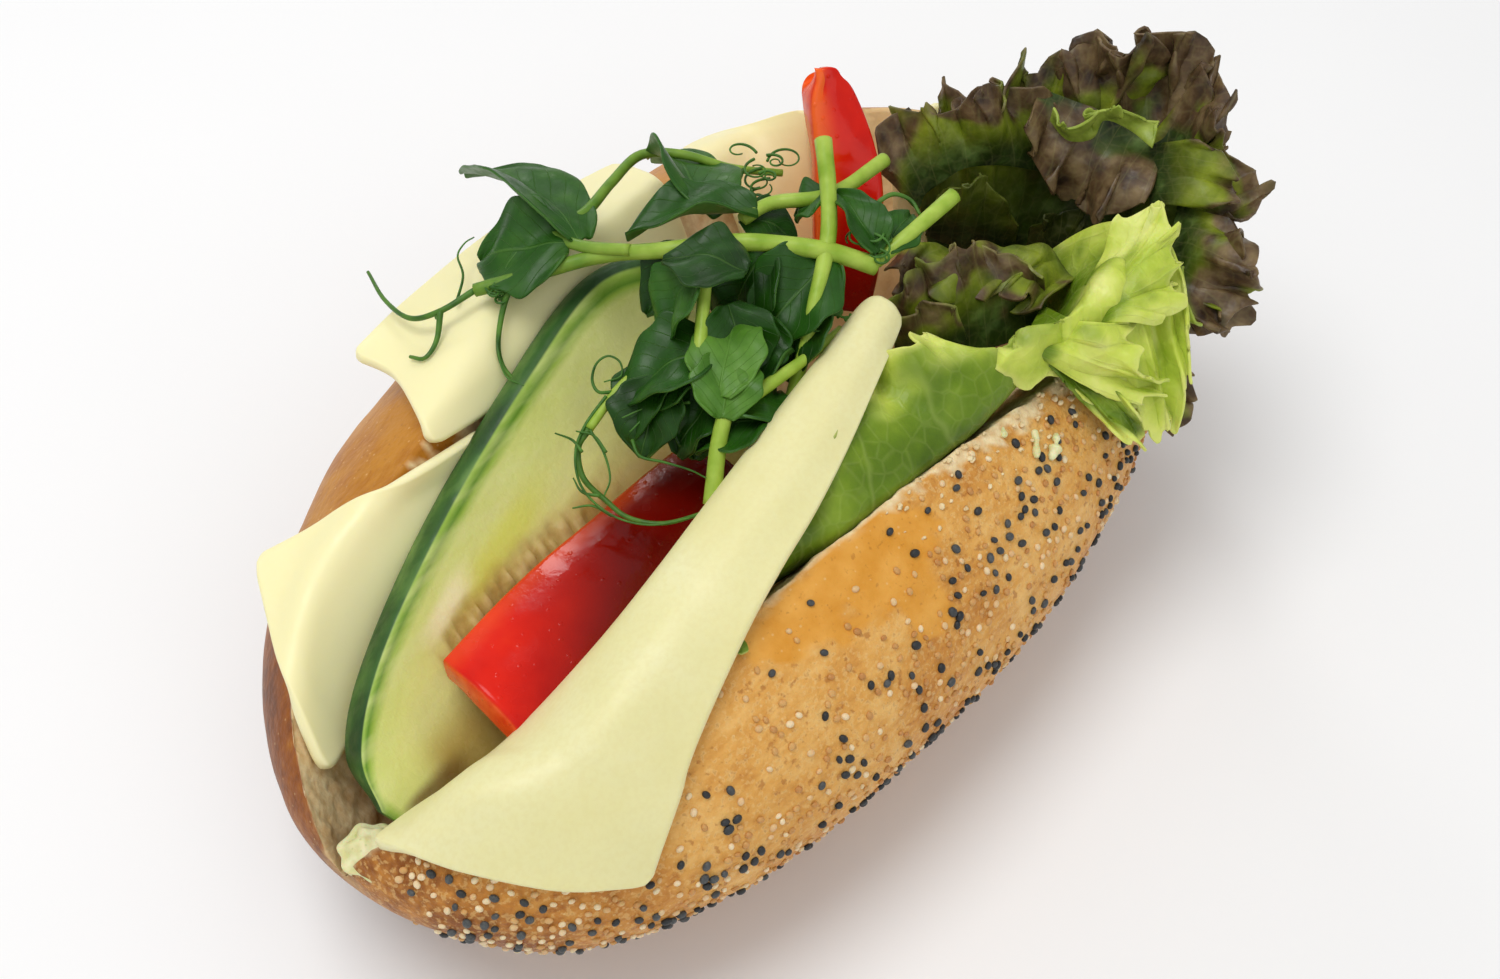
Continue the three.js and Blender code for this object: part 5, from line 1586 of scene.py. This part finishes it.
def shoot_leaf(number, stalk, tip, width, roll, fold, light):
    """An oval leaf from stalk to tip, folded along its middle"""
    start = np.array(stalk, float)
    reach = np.array(tip, float) - start
    length = np.linalg.norm(reach)
    ahead = reach / length
    side = turned(unit(np.cross(ahead, (0, 0, 1))), ahead, roll)
    up = np.cross(side, ahead)

    def place(s, t):
        across = 2 * s - 1
        along = (SHOOT_LEAF.start + SHOOT_LEAF.span * t) ** SHOOT_LEAF.power
        half = width / 2 * np.sin(math.pi * along) ** SHOOT_LEAF.roundness
        half = half * (1 + SHOOT_LEAF.notch * np.sin(19 * t + 3 * number) * np.sign(across))
        rise = fold * np.abs(across) ** SHOOT_LEAF.fold_power * half
        rise = rise + SHOOT_LEAF.arch * length * np.sin(math.pi * t)
        margin_turn = 9 * t + 2.1 * number + 1.5 * np.sign(across)
        rise = rise + SHOOT_LEAF.wave * width * across ** 2 * np.sin(margin_turn)
        rise = rise - SHOOT_LEAF.droop * length * t ** 3
        rise = rise + SHOOT_LEAF.wrinkle * width * np.sin(9 * t + 5 * across + number)
        point = start + ahead * ((t - SHOOT_LEAF.overlap) * length)[..., None]
        point = point + side * (across * half)[..., None] + up * rise[..., None]
        return point + up * (SHOOT_LEAF.uneven * noise(point, SHOOT_LEAF.uneven_size, number))[..., None]

    columns, rows = SHOOT_LEAF.columns, SHOOT_LEAF.rows
    return sheet(place, columns, rows, SHOOT_LEAF.thickness, SHOOT_LEAF.rim, stem=0.0, light=light)


def shoot_look():
    look = Look("pea_shoot", specular_ior_level=0.3, subsurface_weight=0.08, subsurface_scale=0.0015,
                subsurface_radius=(0.4, 1, 0.2))
    tone = look.plus(look.times(look.number("light"), 0.6), look.times(look.noise(5, 3), 0.5))
    leaf = look.ramp(
        tone, (0.2, (16, 50, 2)), (0.5, (36, 84, 12)), (0.75, (68, 114, 28)), (1, (104, 150, 56)))
    across = look.size(look.minus(look.number("s"), 0.5))
    ribs = look.minus(look.number("t"), look.times(across, 0.9))
    veins = look.larger(look.lines(ribs, 7, 0.04, 0.5), look.between(across, 0.022, 0.006))
    leaf = look.mix(look.times(veins, 0.2), leaf, (104, 146, 60))
    under = look.between(look.number("depth"), 0.1, -0.1, 0, 0.5)
    leaf = look.mix(under, leaf, (84, 126, 54))
    stem = look.ramp(look.noise(4, 3), (0.3, (134, 168, 42)), (0.7, (174, 200, 82)))
    dull = look.ramp(look.noise(3, 3), (0.3, (84, 126, 40)), (0.7, (122, 156, 52)))
    # Stems are duller on the left: partly their own darker green, partly painted shade under the leaves
    stem = look.mix(look.number("light"), dull, stem)
    fine = look.ramp(look.noise(3, 2), (0.3, (40, 84, 22)), (0.7, (80, 128, 46)))
    stem = look.mix(look.number("fine"), stem, fine)
    look.set("Base Color", look.mix(look.number("stem"), leaf, stem))
    look.set("Roughness", look.between(look.noise(3, 2), 0.3, 0.7, 0.34, 0.54))
    look.bump(veins, 0.18, 0.6)
    look.bump(look.noise(1.4, 3), 0.15, 0.5)
    return look.material


def route(points, step):
    """Evenly spaced points on a smooth line"""
    fine = smooth(points, np.linspace(0, 1, 400))
    run = distances(fine)
    even = np.linspace(0, run[-1], max(4, int(run[-1] / step)))
    return np.stack([np.interp(even, run, fine[:, k]) for k in range(3)], -1)


def curl(start, first_way, length, turns, rise):
    """A line that bends more and more, level apart from its rise"""
    share = np.linspace(0, 1, 36)
    angle = first_way + 2 * math.pi * turns * share ** TENDRIL.bend
    ways = np.stack([np.cos(angle), np.sin(angle), np.full(len(share), rise / length)], -1)
    return np.array(start) + np.cumsum(ways * length / len(share), axis=0)


def tapering(line, first, last, sides, **values):
    """A thin stem whose radius goes from first to last"""
    return tube(line, np.linspace(first, last, len(line)), sides, stem=1.0, **values)


def tangle(middle, count, length, draw):
    """Fine tendrils that start near the middle and curl round any way"""
    forms = []
    for _ in range(count):
        start = np.array(middle) + draw.normal(0, TENDRIL.spread * length, 3)
        turns = draw.uniform(0.4, 1.7) * draw.choice((-1, 1))
        first_way, own_length = draw.uniform(0, 2 * math.pi), length * draw.uniform(0.7, 1.4)
        line = curl(start, first_way, own_length, turns, draw.uniform(-TENDRIL.rise, TENDRIL.rise))
        forms.append(tapering(line, TENDRIL.hair, TENDRIL.tip, 6, fine=1.0))
    return forms


# How unevenly thick the stems are, and from where to where along Y they turn from dull to light; the dull
# left parts are partly a darker green and partly painted shade under the leaves
STEM = Sizes(swell=0.05, swell_size=4, dull=34, light=8)


def make_shoots():
    forms = [shoot_leaf(number, *leaf) for number, leaf in enumerate(SHOOT_LEAVES)]
    for first, last, points in STEMS:
        line = route(points, 0.8)
        swelling = 1 + STEM.swell * noise(line, STEM.swell_size, 3)
        stem = tube(line, np.linspace(first, last, len(line)) * swelling, 12, stem=1.0, fine=0.0)
        stem.values["light"] = ease(STEM.dull, STEM.light, stem.points[:, 1])
        forms.append(stem)
    forms += [tapering(route(points, 0.5), TENDRIL.thick, TENDRIL.thin, 8, fine=0.8) for points in TENDRILS]
    forms += [tapering(route(points, 0.4), TENDRIL.thin, TENDRIL.tip, 6, fine=1.0) for points in HAIRS]
    draw = np.random.default_rng(8)
    for middle, count, length in TANGLES:
        forms += tangle(middle, count, length, draw)
    piece("pea_shoot_heap", joined(forms), shoot_look(), "pea_shoots", "pea_shoots")


# Soft herb spread that wells out where the slit meets the near end

SPREAD = Sizes(
    middle=(-90.5, -2.6, 35.7), half_size=(4.0, 4.7, 2.3), lumps=0.12, bumps=0.08,
    uneven=0.04, uneven_size=2.8,
)


def spread_look():
    look = Look("herb_spread", roughness=0.4, specular_ior_level=0.45, subsurface_weight=0.3,
                subsurface_scale=0.002)
    cream = look.ramp(look.noise(2, 3), (0.3, (216, 212, 146)), (0.7, (240, 236, 190)))
    herbs = look.between(look.cells(1.3), 0.22, 0.1)
    look.set("Base Color", look.mix(look.times(herbs, 0.35), cream, (150, 168, 76)))
    look.bump(look.noise(1.2, 3), 0.3, 0.8)
    return look.material


# Smears of spread on the crust below the green leaf: points along each from above, and how thick it gets
SMEARS = (
    ([[18.9, -42.7], [17.5, -44], [15.7, -45.3]], 0.65),
    ([[22, -45.1], [20.2, -46.2], [17.8, -46.8]], 0.8),
    ([[14.6, -39.3], [13.4, -40.4]], 0.55),
)
SMEAR = Sizes(points=24, blunt=0.2, uneven=0.7, uneven_size=0.9)


def smear_form(line, thickness):
    """A smear that lies on the crust, thickest at its middle"""
    way = np.linspace(0, 1, SMEAR.points)
    x, y = smooth(line, way).T
    ground = np.stack([x, y, crust_height(x, y)], -1)
    ground[:, 2] += crust_relief(ground)
    swell = np.sin(SMEAR.blunt + (math.pi - 2 * SMEAR.blunt) * way) ** 0.5
    return tube(ground, thickness * (swell * (1 + SMEAR.uneven * noise(ground, SMEAR.uneven_size, 70))), 12)


def make_spread():
    points, faces = ball(5)
    lumps = SPREAD.lumps * np.sin(7 * points[:, 0] + 2) * np.sin(6 * points[:, 1])
    uneven = 1 + lumps + SPREAD.bumps * np.sin(9 * points[:, 2])
    uneven = uneven + SPREAD.uneven * rough(points * 5, SPREAD.uneven_size, 2, 2)
    placed = points * SPREAD.half_size * uneven[:, None] + SPREAD.middle
    forms = [Form(placed, [faces])] + [smear_form(line, thickness) for line, thickness in SMEARS]
    piece("herb_spread_lump", joined(forms), spread_look(), "herb_spread", "herb_spread")


# Floor, light and camera

# The direction that the object is seen from in degrees, and the lens's focal length as a share of its width
CAMERA = Sizes(
    azimuth=-53.4, elevation=51, distance=300, target=(-4, -4.5, 33), focal_share=1806 / 1500, sensor=36,
    nearest=10,
)

# In metres: the floor lies just below the roll's underside. Lamps have a place, a size and a power in watts
FLOOR = Sizes(half=2.0, height=-0.0002)
SKY_STRENGTH = 0.55
LAMP_TARGET = (0, 0, 0.04)
LAMPS = {
    "key": ((-0.15, 0.12, 0.85), 0.5, 3.1),
    "fill": ((-0.3, -0.75, 0.6), 0.7, 0.9),
    "back": ((0.45, 0.6, 0.5), 0.2, 0.7),
}


def make_floor():
    half, height = FLOOR.half, FLOOR.height
    mesh = bpy.data.meshes.new("floor")
    corners = [(-half, -half, height), (half, -half, height), (half, half, height), (-half, half, height)]
    mesh.from_pydata(corners, [], [(0, 1, 2, 3)])
    floor = bpy.data.objects.new("floor", mesh)
    bpy.context.collection.objects.link(floor)
    look = Look("pale_floor", roughness=0.8, specular_ior_level=0.2)
    look.set("Base Color", look.mix(look.noise(120, 2), (250, 250, 250), (254, 254, 254)))
    mesh.materials.append(look.material)


def make_lamp(name, place, size, power):
    lamp = bpy.data.lights.new(name, "AREA")
    lamp.shape = "DISK"
    lamp.size = size
    lamp.energy = power
    stand = bpy.data.objects.new(name, lamp)
    stand.location = place
    stand.rotation_euler = (Vector(LAMP_TARGET) - Vector(place)).to_track_quat("-Z", "Y").to_euler()
    bpy.context.collection.objects.link(stand)


def make_light():
    world = bpy.context.scene.world or bpy.data.worlds.new("studio")
    bpy.context.scene.world = world
    world.use_nodes = True
    sky = world.node_tree.nodes["Background"].inputs
    sky["Color"].default_value = (1, 1, 1, 1)
    sky["Strength"].default_value = SKY_STRENGTH
    for name, settings in LAMPS.items():
        make_lamp(name, *settings)


def make_camera():
    turn, rise = math.radians(CAMERA.azimuth), math.radians(CAMERA.elevation)
    back = Vector((math.sin(turn) * math.cos(rise), -math.cos(turn) * math.cos(rise), math.sin(rise)))
    lens = bpy.data.cameras.new("camera")
    lens.sensor_width = CAMERA.sensor
    lens.lens = CAMERA.focal_share * CAMERA.sensor
    lens.clip_start = CAMERA.nearest * MILLIMETRE
    camera = bpy.data.objects.new("camera", lens)
    camera.location = (Vector(CAMERA.target) + back * CAMERA.distance) * MILLIMETRE
    camera.rotation_euler = back.to_track_quat("Z", "Y").to_euler()
    bpy.context.collection.objects.link(camera)
    bpy.context.scene.camera = camera
    bpy.context.scene.view_settings.view_transform = "Standard"


make_camera()
make_light()
make_floor()
make_bread()
make_cheese()
piece("cucumber_slab", cucumber_form(), cucumber_look(), "cucumber", "cucumber")
make_peppers()
make_lettuce()
make_shoots()
make_spread()
